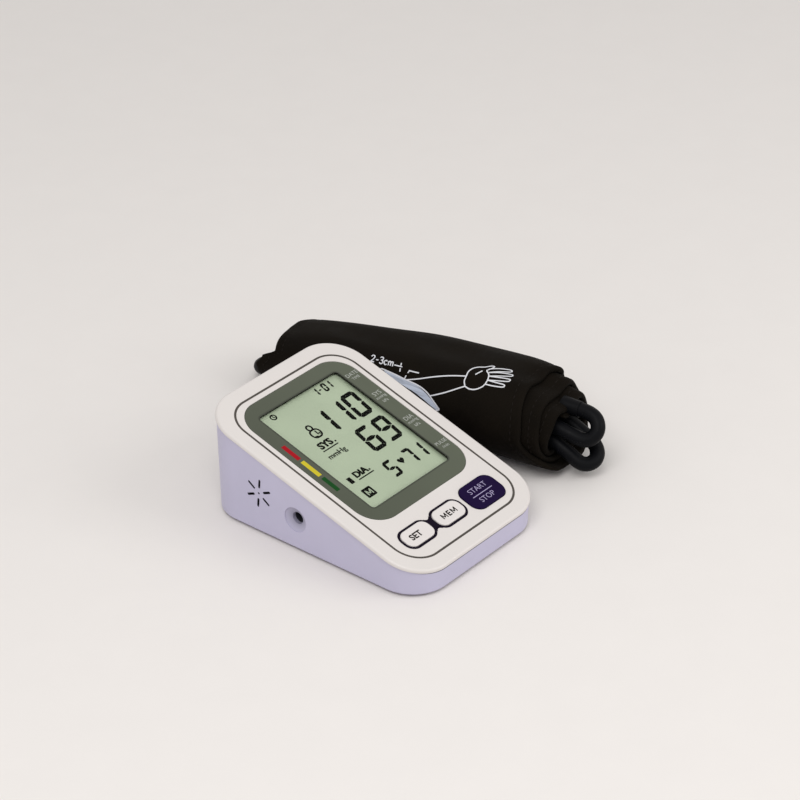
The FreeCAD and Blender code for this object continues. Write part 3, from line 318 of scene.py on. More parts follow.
def lettering(text, size, u, v, base, place, weight=0.0, stretch=1.0):
    """Letters centred on (u, v), as a font's filled outlines given a thickness, laid on a surface by place.
    Size is the height of a capital letter; weight thickens the strokes by that share of it."""
    curve = bpy.data.curves.new("letters", "FONT")
    curve.body = text
    curve.size = size / CAPITAL
    curve.align_x, curve.align_y = "CENTER", "CENTER"
    curve.offset = weight * size
    curve.extrude = 0.5
    curve.resolution_u = 3
    holder = bpy.data.objects.new("letters", curve)
    mesh = bpy.data.meshes.new_from_object(holder)
    flat = np.zeros(len(mesh.vertices) * 3)
    mesh.vertices.foreach_get("co", flat)
    x, y, z = flat.reshape(-1, 3).T
    points = place(u + (x - (x.max() + x.min()) / 2) * stretch, v + y - (y.max() + y.min()) / 2,
                   base + (z + curve.extrude) * PRINT_T)
    faces = [list(side.vertices) for side in mesh.polygons]
    bpy.data.objects.remove(holder)
    bpy.data.curves.remove(curve)
    bpy.data.meshes.remove(mesh)
    return points, faces


def struck(text, size, u, v, base, place, shift, weight):
    """Word printed twice, a little to the left and to the right, which makes its strokes bold."""
    return [lettering(text, size, u + way * shift, v, base + 0.002 * way, place, weight) for way in (-1, 1)]


def letter_m(u, v, width, height, stroke, base, place):
    """Bold letter M about (u, v): two uprights and two slanting strokes that meet low in its middle."""
    side, foot, top = (width - stroke) / 2, v - height / 2, v + height / 2
    low = (u, foot + height * 0.2)
    lines = [[(u + way, foot), (u + way, top)] for way in (-side, side)]
    lines += [[(u + way, top), low] for way in (-side, side)]
    return [band(line, stroke / 2, base, place) for line in lines]


SEGMENTS = {
    "0": "abcdef", "1": "bc", "2": "abged", "3": "abgcd", "4": "fgbc", "5": "afgcd", "6": "afgedc",
    "7": "abc", "8": "abcdefg", "9": "abcdfg", "-": "g",
}
# Form of the segments against the width of a stroke: blunt corner, point and shoulders at half height,
# pointed ends of the middle bar; and the gap at a corner against that at half height
BLUNT, POINT, SHOULDER_IN, SHOULDER_OUT, BAR_END, CORNER_GAP = 0.68, 0.36, 0.42, 0.12, 1.4, 0.35
SLANT = 0.095            # lean of the figures


def figure(sign, right, foot, width, height, stroke, base, place):
    """Strokes of one figure whose right side stands at right on its foot line, leaning by SLANT.
    Outer strokes are bars cut slanting where two meet, with blunt corners; the middle one has pointed ends."""
    mid, gap = height / 2, max(stroke * 0.08 - 0.06, 0.02)
    cut, tip, nick = stroke * BLUNT, stroke * POINT, gap * CORNER_GAP
    upright = [(0.0, height - cut), (cut / 2, height - cut / 2 - nick), (stroke, height - stroke - nick),
               (stroke, mid + stroke * SHOULDER_IN + gap), (tip, mid + gap),
               (0.0, mid + stroke * SHOULDER_OUT + gap)]
    end = [(cut, height), (cut / 2 + nick, height - cut / 2), (stroke + nick, height - stroke)]
    level = end + [(width - x, y) for x, y in end[::-1]]
    end = [(stroke * BAR_END, mid + stroke / 2), (tip + 2 * gap, mid), (stroke * BAR_END, mid - stroke / 2)]
    bar = end + [(width - x, y) for x, y in end[::-1]]
    shapes = {
        "a": (level, 1, 1), "b": (upright, -1, 1), "c": (upright, -1, -1), "d": (level, 1, -1),
        "e": (upright, 1, -1), "f": (upright, 1, 1), "g": (bar, 1, 1),
    }
    parts = []
    for mark in SEGMENTS[sign]:
        outline, side, up = shapes[mark]
        x, y = np.array(outline).T
        x = x if side > 0 else width - x
        y = y if up > 0 else height - y
        parts.append(disc(np.stack([right - width + x + y * SLANT, foot + y], axis=1), base, place))
    return parts


# Shader nodes


def feed(tree, made, inputs):
    """Links or sets the inputs of a node."""
    for key, value in inputs.items():
        if isinstance(value, bpy.types.NodeSocket):
            tree.links.new(value, made.inputs[key])
        else:
            made.inputs[key].default_value = value


def node(tree, kind, inputs=None, output=0, **props):
    """Adds a shader node, sets its own values and its inputs, and gives one of its outputs."""
    made = tree.nodes.new("ShaderNode" + kind)
    for key, value in props.items():
        setattr(made, key, value)
    feed(tree, made, inputs or {})
    return made.outputs[output]


def spot(tree):
    """Place on the object, in metres."""
    return node(tree, "TexCoord", output="Object")


def calc(tree, operation, *values, **props):
    return node(tree, "Math", dict(enumerate(values)), operation=operation, **props)


def vector(tree, operation, *values, output=0):
    return node(tree, "VectorMath", dict(enumerate(values)), output, operation=operation)


def blend(tree, factor, first, second):
    """Colour that goes from first to second with the factor."""
    return node(tree, "Mix", {0: factor, 6: first, 7: second}, 2, data_type="RGBA")


def span(tree, value, low, high, to_low=0.0, to_high=1.0):
    """Value taken from one range to another, held at the ends."""
    return node(tree, "MapRange", {0: value, 1: low, 2: high, 3: to_low, 4: to_high})


def noise(tree, place, scale, detail=2.0, rough=0.5):
    return node(tree, "TexNoise", {"Vector": place, "Scale": scale, "Detail": detail, "Roughness": rough})


def bump(tree, height, distance, strength=0.4):
    return node(tree, "Bump", {"Height": height, "Distance": distance, "Strength": strength})


# Node groups


def group_of(name, inputs, outputs, kind="Float"):
    """Empty node group: its tree, the values that come in and the node that takes those that go out."""
    tree = bpy.data.node_groups.new(name, "ShaderNodeTree")
    for label, value in inputs.items():
        taken = "NodeSocketVector" if isinstance(value, tuple) else "NodeSocketFloat"
        tree.interface.new_socket(label, in_out="INPUT", socket_type=taken).default_value = value
    for label in outputs:
        tree.interface.new_socket(label, in_out="OUTPUT", socket_type="NodeSocket" + kind)
    return tree, tree.nodes.new("NodeGroupInput").outputs, tree.nodes.new("NodeGroupOutput")


def moulded_skin():
    """Fine grain of a moulded skin: Height for bump, Mottle for colour and Haze for roughness, from noise."""
    tree, given, out = group_of("moulded_skin", {"Grain": 2600.0}, ("Height", "Mottle", "Haze"))
    place = spot(tree)
    feed(tree, out, {
        "Height": noise(tree, place, given["Grain"], 2.0, 0.6),
        "Mottle": span(tree, noise(tree, place, 38.0, 3.0, 0.55), 0.3, 0.7),
        "Haze": span(tree, noise(tree, place, 160.0, 4.0, 0.7), 0.35, 0.75),
    })
    return tree


def face_place():
    """Place on the sloped face, in millimetres: Object coordinates turned level about X, from its origin."""
    tree, _, out = group_of("face_place", {}, ("Place",), "Vector")
    start = (0.0, -(FACE_Y0 * FACE_COS + FACE_Z0 * FACE_SIN), -(FACE_Z0 * FACE_COS - FACE_Y0 * FACE_SIN))
    feed(tree, out, {"Place": node(tree, "Mapping", {
        "Vector": spot(tree), "Location": start, "Rotation": (-FACE_TILT, 0.0, 0.0), "Scale": (1 / MM,) * 3,
    })})
    return tree


def round_frame():
    """Distance outside a rectangle with round corners: the length of what is left of |place - middle| beyond
    the straight sides, less the corner's radius."""
    inputs = {"Place": (0.0, 0.0, 0.0), "Middle": (0.0, 0.0, 0.0), "Core": (1.0, 1.0, 0.0), "Radius": 1.0}
    tree, given, out = group_of("round_frame", inputs, ("Distance",))
    off = vector(tree, "SUBTRACT", given["Place"], given["Middle"])
    side = vector(tree, "ABSOLUTE", vector(tree, "MULTIPLY", off, (1.0, 1.0, 0.0)))
    past = vector(tree, "MAXIMUM", vector(tree, "SUBTRACT", side, given["Core"]), (0.0, 0.0, 0.0))
    length = vector(tree, "LENGTH", past, output="Value")
    feed(tree, out, {"Distance": calc(tree, "SUBTRACT", length, given["Radius"])})
    return tree


def plain_weave():
    """Plain weave on the strip's own map: cosine ridges along and across, and each crossing lifts one of them."""
    tree, given, out = group_of("plain_weave", {"Threads": 1700.0}, ("Height", "Shade"))
    place = node(tree, "UVMap", uv_map="strip")
    drift = noise(tree, place, 90.0).node.outputs["Color"]
    moved = vector(tree, "ADD", place, vector(tree, "MULTIPLY", drift, (0.0012, 0.0012, 0.0)))
    x, y = node(tree, "SeparateXYZ", {0: moved}).node.outputs[:2]

    def wave(along, turn):
        return calc(tree, "COSINE", calc(tree, "MULTIPLY", along, turn))

    turn = calc(tree, "MULTIPLY", given["Threads"], 2 * math.pi)
    half = calc(tree, "MULTIPLY", turn, 0.5)
    over = calc(tree, "MULTIPLY", wave(x, half), wave(y, half))
    first, second = calc(tree, "ADD", wave(x, turn), over), calc(tree, "SUBTRACT", wave(y, turn), over)
    ridge = calc(tree, "MAXIMUM", first, second)
    feed(tree, out, {
        "Height": span(tree, ridge, -0.5, 2.0),
        "Shade": span(tree, noise(tree, place, 55.0, 5.0, 0.65), 0.3, 0.72),
    })
    return tree


GROUPS = {maker.__name__: maker for maker in (moulded_skin, face_place, round_frame, plain_weave)}


def group(tree, name, **inputs):
    """Places a shared node group in a material; the group is made when it is first asked for."""
    made = tree.nodes.new("ShaderNodeGroup")
    made.node_tree = bpy.data.node_groups.get(name) or GROUPS[name]()
    feed(tree, made, inputs)
    return made.outputs


# Finishes


def wire(tree, shader, **sockets):
    """Links or sets the shader's inputs, named with _ for a space."""
    feed(tree, shader, {key.replace("_", " "): value for key, value in sockets.items()})


def blank(name, **sockets):
    """New material with one Principled shader whose plain values are set; gives the material, tree and shader."""
    material = bpy.data.materials.new(name)
    material.use_nodes = True
    tree = material.node_tree
    shader = tree.nodes["Principled BSDF"]
    wire(tree, shader, **sockets)
    return material, tree, shader


def moulded(name, colour, rough=0.4, grain=2600.0, depth=0.00003, vary=0.07, haze=0.1, **sockets):
    """Moulded plastic or rubber: grain bump, slow mottling of the colour and hazy patches in the gloss."""
    material, tree, shader = blank(name, **sockets)
    skin = group(tree, "moulded_skin", Grain=grain)
    wire(tree, shader, Base_Color=blend(tree, skin["Mottle"], shade(colour, 1 - vary), shade(colour)),
         Roughness=span(tree, skin["Haze"], 0.0, 1.0, rough, rough + haze),
         Normal=bump(tree, skin["Height"], depth))
    return material


def metal(name, colour, rough=0.25, along=(1.0, 1.0, 1.0)):
    """Bare metal: fine drawn lines, longest where along is smallest, in its gloss and bump."""
    material, tree, shader = blank(name, Metallic=1.0)
    lines = noise(tree, node(tree, "Mapping", {"Vector": spot(tree), "Scale": along}), 900.0, 3.0)
    skin = group(tree, "moulded_skin", Grain=1400.0)
    wire(tree, shader, Base_Color=blend(tree, skin["Mottle"], shade(colour, 0.82), shade(colour)),
         Roughness=span(tree, lines, 0.3, 0.7, rough, rough + 0.18), Normal=bump(tree, lines, 0.00002, 0.25))
    return material


def printed(name, colour, rough=0.5):
    """Screen-printed ink: slightly uneven cover and a fine tooth."""
    return moulded(name, colour, rough, grain=5000.0, depth=0.00001, vary=0.1, haze=0.15, Specular_IOR_Level=0.04)


def paint(material, *names):
    """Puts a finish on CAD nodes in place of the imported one."""
    for name in names:
        for held in frame["nodes"][name].material_slots:
            held.material = material


# Operators


class MONITOR_OT_stage(bpy.types.Operator):
    """Pale floor, soft lamps, even sky and the camera"""

    bl_idname = "monitor.stage"
    bl_label = "Stage"

    FLOOR_HALF, FLOOR_DROP = 6.0, 0.0002
    KEY_PLACE, KEY_SIZE = (-0.75, -0.35, 1.25), 0.9
    FILL_PLACE, FILL_SIZE = (0.55, -1.1, 0.8), 1.0

    def execute(self, context):
        stage = context.scene.monitor_stage
        self.floor(stage)
        context.scene.world = self.sky(stage)
        self.lamp("key_lamp", self.KEY_PLACE, self.KEY_SIZE, stage.key, stage.target)
        self.lamp("fill_lamp", self.FILL_PLACE, self.FILL_SIZE, stage.fill, stage.target)
        camera = placed("camera", bpy.data.cameras.new("camera"))
        a, e = stage.azimuth, stage.elevation
        back = Vector((math.sin(a) * math.cos(e), -math.cos(a) * math.cos(e), math.sin(e)))
        camera.location = Vector(stage.target) + back * stage.distance
        camera.rotation_euler = (-back).to_track_quat("-Z", "Y").to_euler()
        camera.data.lens = stage.lens
        context.scene.camera = camera
        context.scene.view_settings.view_transform = "Standard"
        return {"FINISHED"}

    def floor(self, stage):
        """Level square under the object, lit as it is, so that it keeps the shadow."""
        h = self.FLOOR_HALF
        mesh = bpy.data.meshes.new("floor")
        points = [(x, y, -self.FLOOR_DROP) for x, y in ((-h, -h), (h, -h), (h, h), (-h, h))]
        mesh.from_pydata(points, [], [[0, 1, 2, 3]])
        mesh.materials.append(moulded("floor_paper", stage.floor, rough=0.75, grain=400.0, vary=0.012))
        placed("floor", mesh)

    def sky(self, stage):
        """Even white light; seen by the camera and in reflections it has the floor's colour."""
        world = bpy.data.worlds.new("studio")
        world.use_nodes = True
        tree = world.node_tree
        rays = tree.nodes.new("ShaderNodeLightPath").outputs
        shown = calc(tree, "ADD", rays["Is Camera Ray"], rays["Is Glossy Ray"], use_clamp=True)
        shown = calc(tree, "ADD", shown, rays["Is Transmission Ray"], use_clamp=True)
        light = tree.nodes["Background"]
        feed(tree, light, {"Color": (1.0, 1.0, 1.0, 1.0), "Strength": stage.sky})
        seen = node(tree, "Background", {"Color": shade(stage.floor), "Strength": 1.0})
        both = node(tree, "MixShader", {0: shown, 1: light.outputs[0], 2: seen})
        feed(tree, tree.nodes["World Output"], {"Surface": both})
        return world

    def lamp(self, name, place, size, power, target):
        """Round soft lamp that faces the target."""
        light = bpy.data.lights.new(name, "AREA")
        light.shape = "DISK"
        light.size = size
        light.energy = power
        lamp = placed(name, light)
        lamp.location = place
        lamp.rotation_euler = (Vector(target) - Vector(place)).to_track_quat("-Z", "Y").to_euler()


class MONITOR_OT_housing(bpy.types.Operator):
    """White cover with its printed line, lavender case, battery door, feet and screws"""

    bl_idname = "monitor.housing"
    bl_label = "Housing"

    # Painted shade, in millimetres: where it starts and is full below the cover's underside, for the band under
    # its edge; behind the wall's outside and from the middle, for the slots' sides and the air socket's recess;
    # and how far behind the wall's outside all this painted shade ends
    SEAM = (0.65, 0.5)
    WALL = (4.0, 5.0)
    SLOT_DEPTH, SLOT_REACH = (0.08, 0.25), (8.4, 8.6)
    DISH_RIM, DISH_WELL, DISH_REACH = (0.1, 0.4), (0.7, 2.0), (6.8, 7.0)

    def execute(self, context):
        look = context.scene.monitor_housing
        paint(moulded("cover_white", look.cover, rough=0.34, vary=0.025, Coat_Weight=0.12), "top_cover")
        paint(self.case_finish(look), "lower_case", "battery_cover")
        paint(moulded("foot_rubber", linear(58, 58, 62), rough=0.75, grain=900.0, depth=0.00008), "rubber_feet")
        paint(metal("screw_steel", (0.62, 0.61, 0.58), 0.3), "case_screws", "board_screws")
        outline = rounded(-LINE_HALF_U, LINE_HALF_U, LINE_V0, LINE_V1, LINE_R, 24)
        line = band(outline, LINE_W / 2, PRINT_GAP, on_face, closed=True)
        piece("face_line", [line], printed("line_grey", look.line), "monitor")
        return {"FINISHED"}

    def case_finish(self, look):
        """Lavender plastic with a fine spark grain and painted shade: a dark band just under the cover's edge,
        dark on the sides of the speaker's slots, which lie behind the drafted left wall and within the star, and
        darker in the sunken recess of the air socket."""
        material, tree, shader = blank("case_lavender", Specular_IOR_Level=0.4)
        skin = group(tree, "moulded_skin", Grain=1500.0)
        place = spot(tree)

        def step(value, limits, start, end):
            return span(tree, value, limits[0] * MM, limits[1] * MM, start, end)

        def within(middle, reach):
            flat = vector(tree, "MULTIPLY", vector(tree, "SUBTRACT", place, middle), (0.0, 1.0, 1.0))
            return step(vector(tree, "LENGTH", flat, output="Value"), reach, 1.0, 0.0)

        depth = node(tree, "SeparateXYZ", {0: group(tree, "face_place")["Place"]}, 2)
        # Painted shade: a dark band just under the cover's edge, standing for the shadow in the joint between
        # cover and case
        seam = span(tree, depth, -COVER_T - self.SEAM[0], -COVER_T - self.SEAM[1], 0.0, 0.9)
        off = vector(tree, "SUBTRACT", place, SPEAKER_MIDDLE)
        behind = vector(tree, "DOT_PRODUCT", off, (1.0, 0.0, WALL_DRAFT), output="Value")
        wall = step(behind, self.WALL, 1.0, 0.0)
        # Painted shade on the sides of the speaker's slots: near black just behind the wall's outside, within the
        # star
        slot = step(behind, self.SLOT_DEPTH, 0.0, 0.93)
        slot = calc(tree, "MULTIPLY", slot, within(SPEAKER_MIDDLE, self.SLOT_REACH))
        slot = calc(tree, "MULTIPLY", slot, wall)
        # Painted shade in the air socket's recess: a step darker past its rim, darker again further in
        sunk = calc(tree, "ADD", step(behind, self.DISH_RIM, 0.0, 0.25), step(behind, self.DISH_WELL, 0.0, 0.4))
        dish = calc(tree, "MULTIPLY", sunk, within(JACK_MIDDLE, self.DISH_REACH))
        dish = calc(tree, "MULTIPLY", dish, wall)
        tint = blend(tree, skin["Mottle"], shade(look.case, 0.96), shade(look.case))
        # Painted shade laid over the lavender: in the socket's recess, under the cover's edge and in the slots
        tint = blend(tree, dish, tint, shade(look.case, 0.4))
        tint = blend(tree, seam, tint, shade(look.case, 0.12))
        tint = blend(tree, slot, tint, shade(linear(20, 18, 22)))
        wire(tree, shader, Base_Color=tint, Roughness=span(tree, skin["Haze"], 0.0, 1.0, 0.42, 0.52),
             Normal=bump(tree, skin["Height"], 0.00004))
        return material


class MONITOR_OT_display(bpy.types.Operator):
    """Lens with its printed mask, display glass with its figures and marks, holder and contact strip"""

    bl_idname = "monitor.display"
    bl_label = "Display"

    MASK_HALF = 38.0         # half the mask's width, over which painted light takes it from darker at the left to lighter at the right
    # Bars of the scale: their two ends up the slope and their screen colours
    BARS = {"red": ((90.2, 101.2), (164, 26, 36)), "yellow": ((76.6, 88.4), (206, 190, 52)),
            "green": ((64.5, 74.9), (28, 74, 34))}
    BAR_U, BAR_HALF = -34.1, 1.25
    # Words on the mask, with their sizes and heights up the slope
    LABEL_U = 33.9
    LABELS = [("DATE", 2.3, 115.9), ("TIME", 1.7, 112.9), ("SYS", 2.6, 98.9), ("mmHg", 1.8, 95.7),
              ("kPa", 1.8, 92.9), ("DIA", 2.6, 77.8), ("mmHg", 1.8, 74.6), ("kPa", 1.8, 71.8),
              ("PULSE", 2.1, 56.4), ("/min", 1.8, 53.3)]
    # Rows of figures: the right side of each figure, then the row's foot, and a figure's width, height and stroke
    ROWS = {
        "systolic": ((-0.3, 11.2, 23.0), 91.1, 9.8, 17.0, 2.55),
        "diastolic": ((10.5, 22.5), 70.8, 9.7, 16.7, 2.45),
        "memory": ((1.9,), 53.1, 6.3, 11.0, 1.75),
        "pulse": ((15.6, 22.9), 53.1, 5.9, 11.0, 1.75),
    }
    DATE, DATE_ROW = "1-01", ((9.5, 12.7, 16.2, 19.4), 114.4, 3.1, 5.8, 1.1)
    # Words on the glass: size, place, shift of the second print and weight
    WORDS = [("SYS", 4.1, -15.5, 90.0, 0.17, 0.045), ("DIA", 3.8, -15.9, 66.5, 0.17, 0.045),
             ("mmHg", 3.2, -15.3, 81.8, 0.13, 0.0)]
    # Strokes on the glass with half their widths: lines and a mark by the words, lines in the person, clock hands
    STROKES = [
        (0.34, [(-20.5, 86.6), (-9.6, 86.6)]), (0.34, [(-20.5, 63.2), (-9.6, 63.2)]),
        (1.25, [(-24.5, 63.2), (-24.5, 67.4)]), (0.4, [(-13.0, 96.4), (-13.0, 99.4)]),
        (0.4, [(-11.9, 96.2), (-11.9, 97.4)]), (0.6, [(-16.2, 95.8), (-14.0, 95.5)]),
        (0.3, [(-22.9, 119.0), (-22.9, 117.7), (-22.0, 117.2)]),
    ]
    # Closed strokes: the person's head and body, and the clock
    RINGS = [
        (0.5, arc(-13.9, 102.0, 1.5, 1.7, -90, 270, 33)[:-1]), (0.5, rounded(-16.7, -10.7, 95.0, 100.3, 2.3)),
        (0.38, arc(-22.9, 117.8, 1.6, 1.6, 0, 351, 40)),
    ]
    # Full stops after two of the words, and the square behind the memory letter
    PATCHES = [
        rounded(-10.1, -9.1, 87.9, 88.9, 0.3, 3), rounded(-11.1, -10.1, 64.6, 65.6, 0.3, 3),
        rounded(-25.9, -19.7, 51.7, 57.8, 0.6, 4),
    ]
    HEART_U, HEART_V, HEART_W, HEART_H = 7.0, 59.6, 2.05, 0.14
    MEMORY_M = (-22.8, 54.7, 3.7, 3.5, 0.62)

    def execute(self, context):
        look = context.scene.monitor_display
        paint(self.lens_finish(look), "display_lens")
        paint(self.glass_finish(look), "lcd_panel")
        paint(moulded("holder_white", linear(225, 226, 222), rough=0.5), "lcd_holder")
        paint(self.strip_finish(), "zebra_strip")
        ink = printed("segment_dark", look.ink, 0.35)
        piece("lcd_figures", self.figures(look), ink, "monitor")
        piece("lcd_marks", self.marks(), ink, "monitor")
        letter = letter_m(*self.MEMORY_M, LCD_TOP + 2 * PRINT_T, on_glass)
        piece("lcd_memory_letter", letter, printed("segment_clear", look.glass), "monitor")
        base = LENS_TOP + PRINT_GAP
        for name, (ends, screen) in self.BARS.items():
            bar = band([(self.BAR_U, v) for v in ends], self.BAR_HALF, base, on_face)
            piece("scale_" + name, [bar], printed("scale_" + name, linear(*screen)), "monitor")
        labels = [lettering(text, size, self.LABEL_U, v, base, on_face) for text, size, v in self.LABELS]
        piece("mask_labels", labels, printed("label_grey", linear(176, 178, 172)), "monitor")
        return {"FINISHED"}

    def lens_finish(self, look):
        """Clear lens printed dark outside the window, with painted light that makes the mask darker at the left
        and lighter at the right, and painted shade in a darker band round the window.
        """
        material, tree, shader = blank("lens_mask", Roughness=0.12, Specular_IOR_Level=0.3, Coat_Weight=0.15,
                                       Coat_Roughness=0.05)
        place = group(tree, "face_place")["Place"]
        middle = ((WINDOW_U0 + WINDOW_U1) / 2, (WINDOW_V0 + WINDOW_V1) / 2, 0.0)
        core = ((WINDOW_U1 - WINDOW_U0) / 2 - WINDOW_R, (WINDOW_V1 - WINDOW_V0) / 2 - WINDOW_R, 0.0)
        away = group(tree, "round_frame", Place=place, Middle=middle, Core=core, Radius=WINDOW_R)["Distance"]
        skin = group(tree, "moulded_skin", Grain=3200.0)
        # Painted light: the mask is darker at the left and lighter at the right
        side = span(tree, node(tree, "SeparateXYZ", {0: place}), -self.MASK_HALF, self.MASK_HALF)
        mask = blend(tree, side, shade(look.mask, 0.88), shade(look.mask, 1.16))
        mask = blend(tree, span(tree, skin["Mottle"], 0.0, 1.0, 0.07, 0.0), mask, (0.0, 0.0, 0.0, 1.0))
        # Painted shade: a darker band on the mask round the window
        edge = span(tree, away, 0.15, 1.2, 1.0, 0.0)
        wire(tree, shader, Base_Color=blend(tree, edge, mask, shade(look.mask, 0.35)),
             Alpha=span(tree, away, -0.12, 0.12, 0.04, 1.0))
        return material

    def glass_finish(self, look):
        """Grey-green reflective display with a faint cloud and fine specks."""
        material, tree, shader = blank("display_ground", Roughness=0.3, Specular_IOR_Level=0.4)
        place = group(tree, "face_place")["Place"]
        cloud, fine = noise(tree, place, 0.05), noise(tree, place, 7.0)
        tone = blend(tree, span(tree, cloud, 0.35, 0.65), shade(look.glass, 0.95), shade(look.glass))
        tone = blend(tree, span(tree, fine, 0.35, 0.8, 0.0, 0.12), tone, shade(look.glass, 0.8))
        wire(tree, shader, Base_Color=tone, Normal=bump(tree, fine, 0.00001, 0.15))
        return material

    def strip_finish(self):
        """Rubber contact strip: thin conducting layers across its length."""
        material, tree, shader = blank("contact_strip", Roughness=0.65)
        wave = node(tree, "TexWave", {"Vector": spot(tree), "Scale": 400.0}, "Fac", wave_type="BANDS",
                    bands_direction="X")
        wire(tree, shader, Base_Color=blend(tree, wave, shade(linear(40, 40, 42)), shade(linear(190, 150, 160))))
        return material

    def figures(self, look):
        """Readings and date in seven-segment figures, each row right-aligned as on the glass."""
        parts = []
        rows = [(getattr(look, name), row) for name, row in self.ROWS.items()] + [(self.DATE, self.DATE_ROW)]
        for text, (rights, *form) in rows:
            for sign, right in zip(text, rights):
                parts += figure(sign, right, *form, LCD_TOP + PRINT_GAP, on_glass)
        return parts

    def marks(self):
        """Fixed marks of the glass: words with lines under them, heart, person, clock and memory square."""
        base = LCD_TOP + PRINT_GAP
        a = np.linspace(0, 2 * math.pi, 40, endpoint=False)
        heart_v = 13 * np.cos(a) - 5 * np.cos(2 * a) - 2 * np.cos(3 * a) - np.cos(4 * a)
        heart_u, heart_v = self.HEART_U + self.HEART_W * np.sin(a) ** 3, self.HEART_V + self.HEART_H * heart_v
        heart = np.stack([heart_u, heart_v], axis=1)
        parts = [disc(patch, base, on_glass) for patch in (*self.PATCHES, heart)]
        parts += [band(path, half, base, on_glass) for half, path in self.STROKES]
        parts += [band(path, half, base, on_glass, closed=True) for half, path in self.RINGS]
        for text, size, u, v, shift, weight in self.WORDS:
            parts += struck(text, size, u, v, base, on_glass, shift, weight)
        return parts


class MONITOR_OT_keys(bpy.types.Operator):
    """Start key, two white keys, their dark frame with its web, lettering, plungers and switches"""

    bl_idname = "monitor.keys"
    bl_label = "Keys"

    # Words with their sizes and places; the letter M is drawn, with its width, height and stroke
    LETTERS = {
        "start": [("START", 3.1, 22.9, 24.0), ("STOP", 3.1, 22.8, 17.2)],
        "mem": [("E", 3.2, -2.1, 21.3)],
        "set": [("SET", 3.4, -27.0, 21.4)],
    }
    LETTER_M, LETTER_M_FORM = ((-5.6, 21.3), (1.4, 21.3)), (3.3, 3.2, 0.6)
    DIVIDER, DIVIDER_HALF = ((15.8, 20.5), (30.3, 20.5)), 0.22
    # Web between the small keys: its middle, half its length, half its width there and what its ends add
    WEB_U, WEB_V, WEB_HALF, WEB_WAIST, WEB_FLARE = -13.55, 21.6, 1.95, 3.6, 1.3

    def execute(self, context):
        look = context.scene.monitor_keys
        paint(moulded("start_indigo", look.start, rough=0.36, vary=0.1, Specular_IOR_Level=0.05), "start_button")
        paint(moulded("key_white", look.white, rough=0.36, vary=0.02), "mem_button", "set_button")
        frame_dark = moulded("key_frame_dark", look.frame, rough=0.45, Specular_IOR_Level=0.05)
        paint(frame_dark, "key_frame")
        paint(moulded("plunger_dark", linear(38, 38, 40)), "start_plunger", "mem_plunger", "set_plunger")
        paint(moulded("switch_black", linear(30, 30, 32), rough=0.5), "tact_switches")
        pale = printed("lettering_white", linear(170, 160, 192))
        dark = printed("lettering_dark", linear(38, 34, 32))
        base = KEY_TOP + PRINT_GAP
        for name, words in self.LETTERS.items():
            ink, weight, stretch = (pale, -0.01, 1.0) if name == "start" else (dark, 0.045, 1.02)
            parts = [lettering(*word, base, on_face, weight, stretch) for word in words]
            if name == "start":
                parts.append(band(self.DIVIDER, self.DIVIDER_HALF, base, on_face))
            if name == "mem":
                for middle in self.LETTER_M:
                    parts += letter_m(*middle, *self.LETTER_M_FORM, base, on_face)
            piece(name + "_lettering", parts, ink, name + "_key")
        x = np.linspace(-1, 1, 13)
        web = np.stack([self.WEB_U + x * self.WEB_HALF, np.full(13, self.WEB_V)], axis=1)
        web = band(web, self.WEB_WAIST + self.WEB_FLARE * x ** 2, PRINT_GAP, on_face)
        piece("key_web", [web], frame_dark, "monitor")
        return {"FINISHED"}


class MONITOR_OT_electronics(bpy.types.Operator):
    """Boards, chip, sensor and power socket"""

    bl_idname = "monitor.electronics"
    bl_label = "Electronics"

    CHIP_MIDDLE, CHIP_HALF = (10.0, 62.0, 0.0), (6.05, 6.05, 0.0)

    def execute(self, context):
        paint(self.board_finish(), "main_board", "power_board")
        paint(self.chip_finish(), "microcontroller")
        paint(moulded("sensor_grey", linear(120, 122, 126)), "pressure_sensor")
        paint(metal("socket_steel", (0.70, 0.69, 0.66), 0.22), "usb_socket")
        return {"FINISHED"}

    def board_finish(self):
        """Green lacquer over copper: straight traces where two bands of cells meet, and small tinned spots."""
        material, tree, shader = blank("board_green", Roughness=0.38, Coat_Weight=0.3)
        place = group(tree, "face_place")["Place"]
        black, white = (0.0, 0.0, 0.0, 1.0), (1.0, 1.0, 1.0, 1.0)
        cells = node(tree, "TexBrick", {
            "Vector": place, "Scale": 0.22, "Mortar Size": 0.035, "Mortar Smooth": 0.2, "Brick Width": 0.9,
            "Row Height": 0.35, "Color1": black, "Color2": black, "Mortar": white,
        }).node.outputs
        spots = node(tree, "TexVoronoi", {"Vector": place, "Scale": 0.28}, "Distance")
        pad = span(tree, spots, 0.16, 0.18, 1.0, 0.0)
        green = blend(tree, cells["Color"], shade(linear(18, 78, 44)), shade(linear(38, 112, 62)))
        wire(tree, shader, Base_Color=blend(tree, pad, green, shade(linear(196, 190, 172))), Metallic=pad,
             Normal=bump(tree, cells["Fac"], 0.00003))
        return material

    def chip_finish(self):
        """Black moulded body; beyond its sides, tinned leads."""
        material, tree, shader = blank("chip_black", Roughness=0.5)
        place = group(tree, "face_place")["Place"]
        away = group(tree, "round_frame", Place=place, Middle=self.CHIP_MIDDLE, Core=self.CHIP_HALF, Radius=0.0)
        lead = span(tree, away["Distance"], 0.0, 0.05)
        skin = group(tree, "moulded_skin", Grain=3000.0)
        body = blend(tree, skin["Mottle"], shade(linear(22, 22, 24)), shade(linear(34, 34, 36)))
        wire(tree, shader, Base_Color=blend(tree, lead, body, shade(linear(200, 198, 192))), Metallic=lead,
             Normal=bump(tree, skin["Height"], 0.00003))
        return material


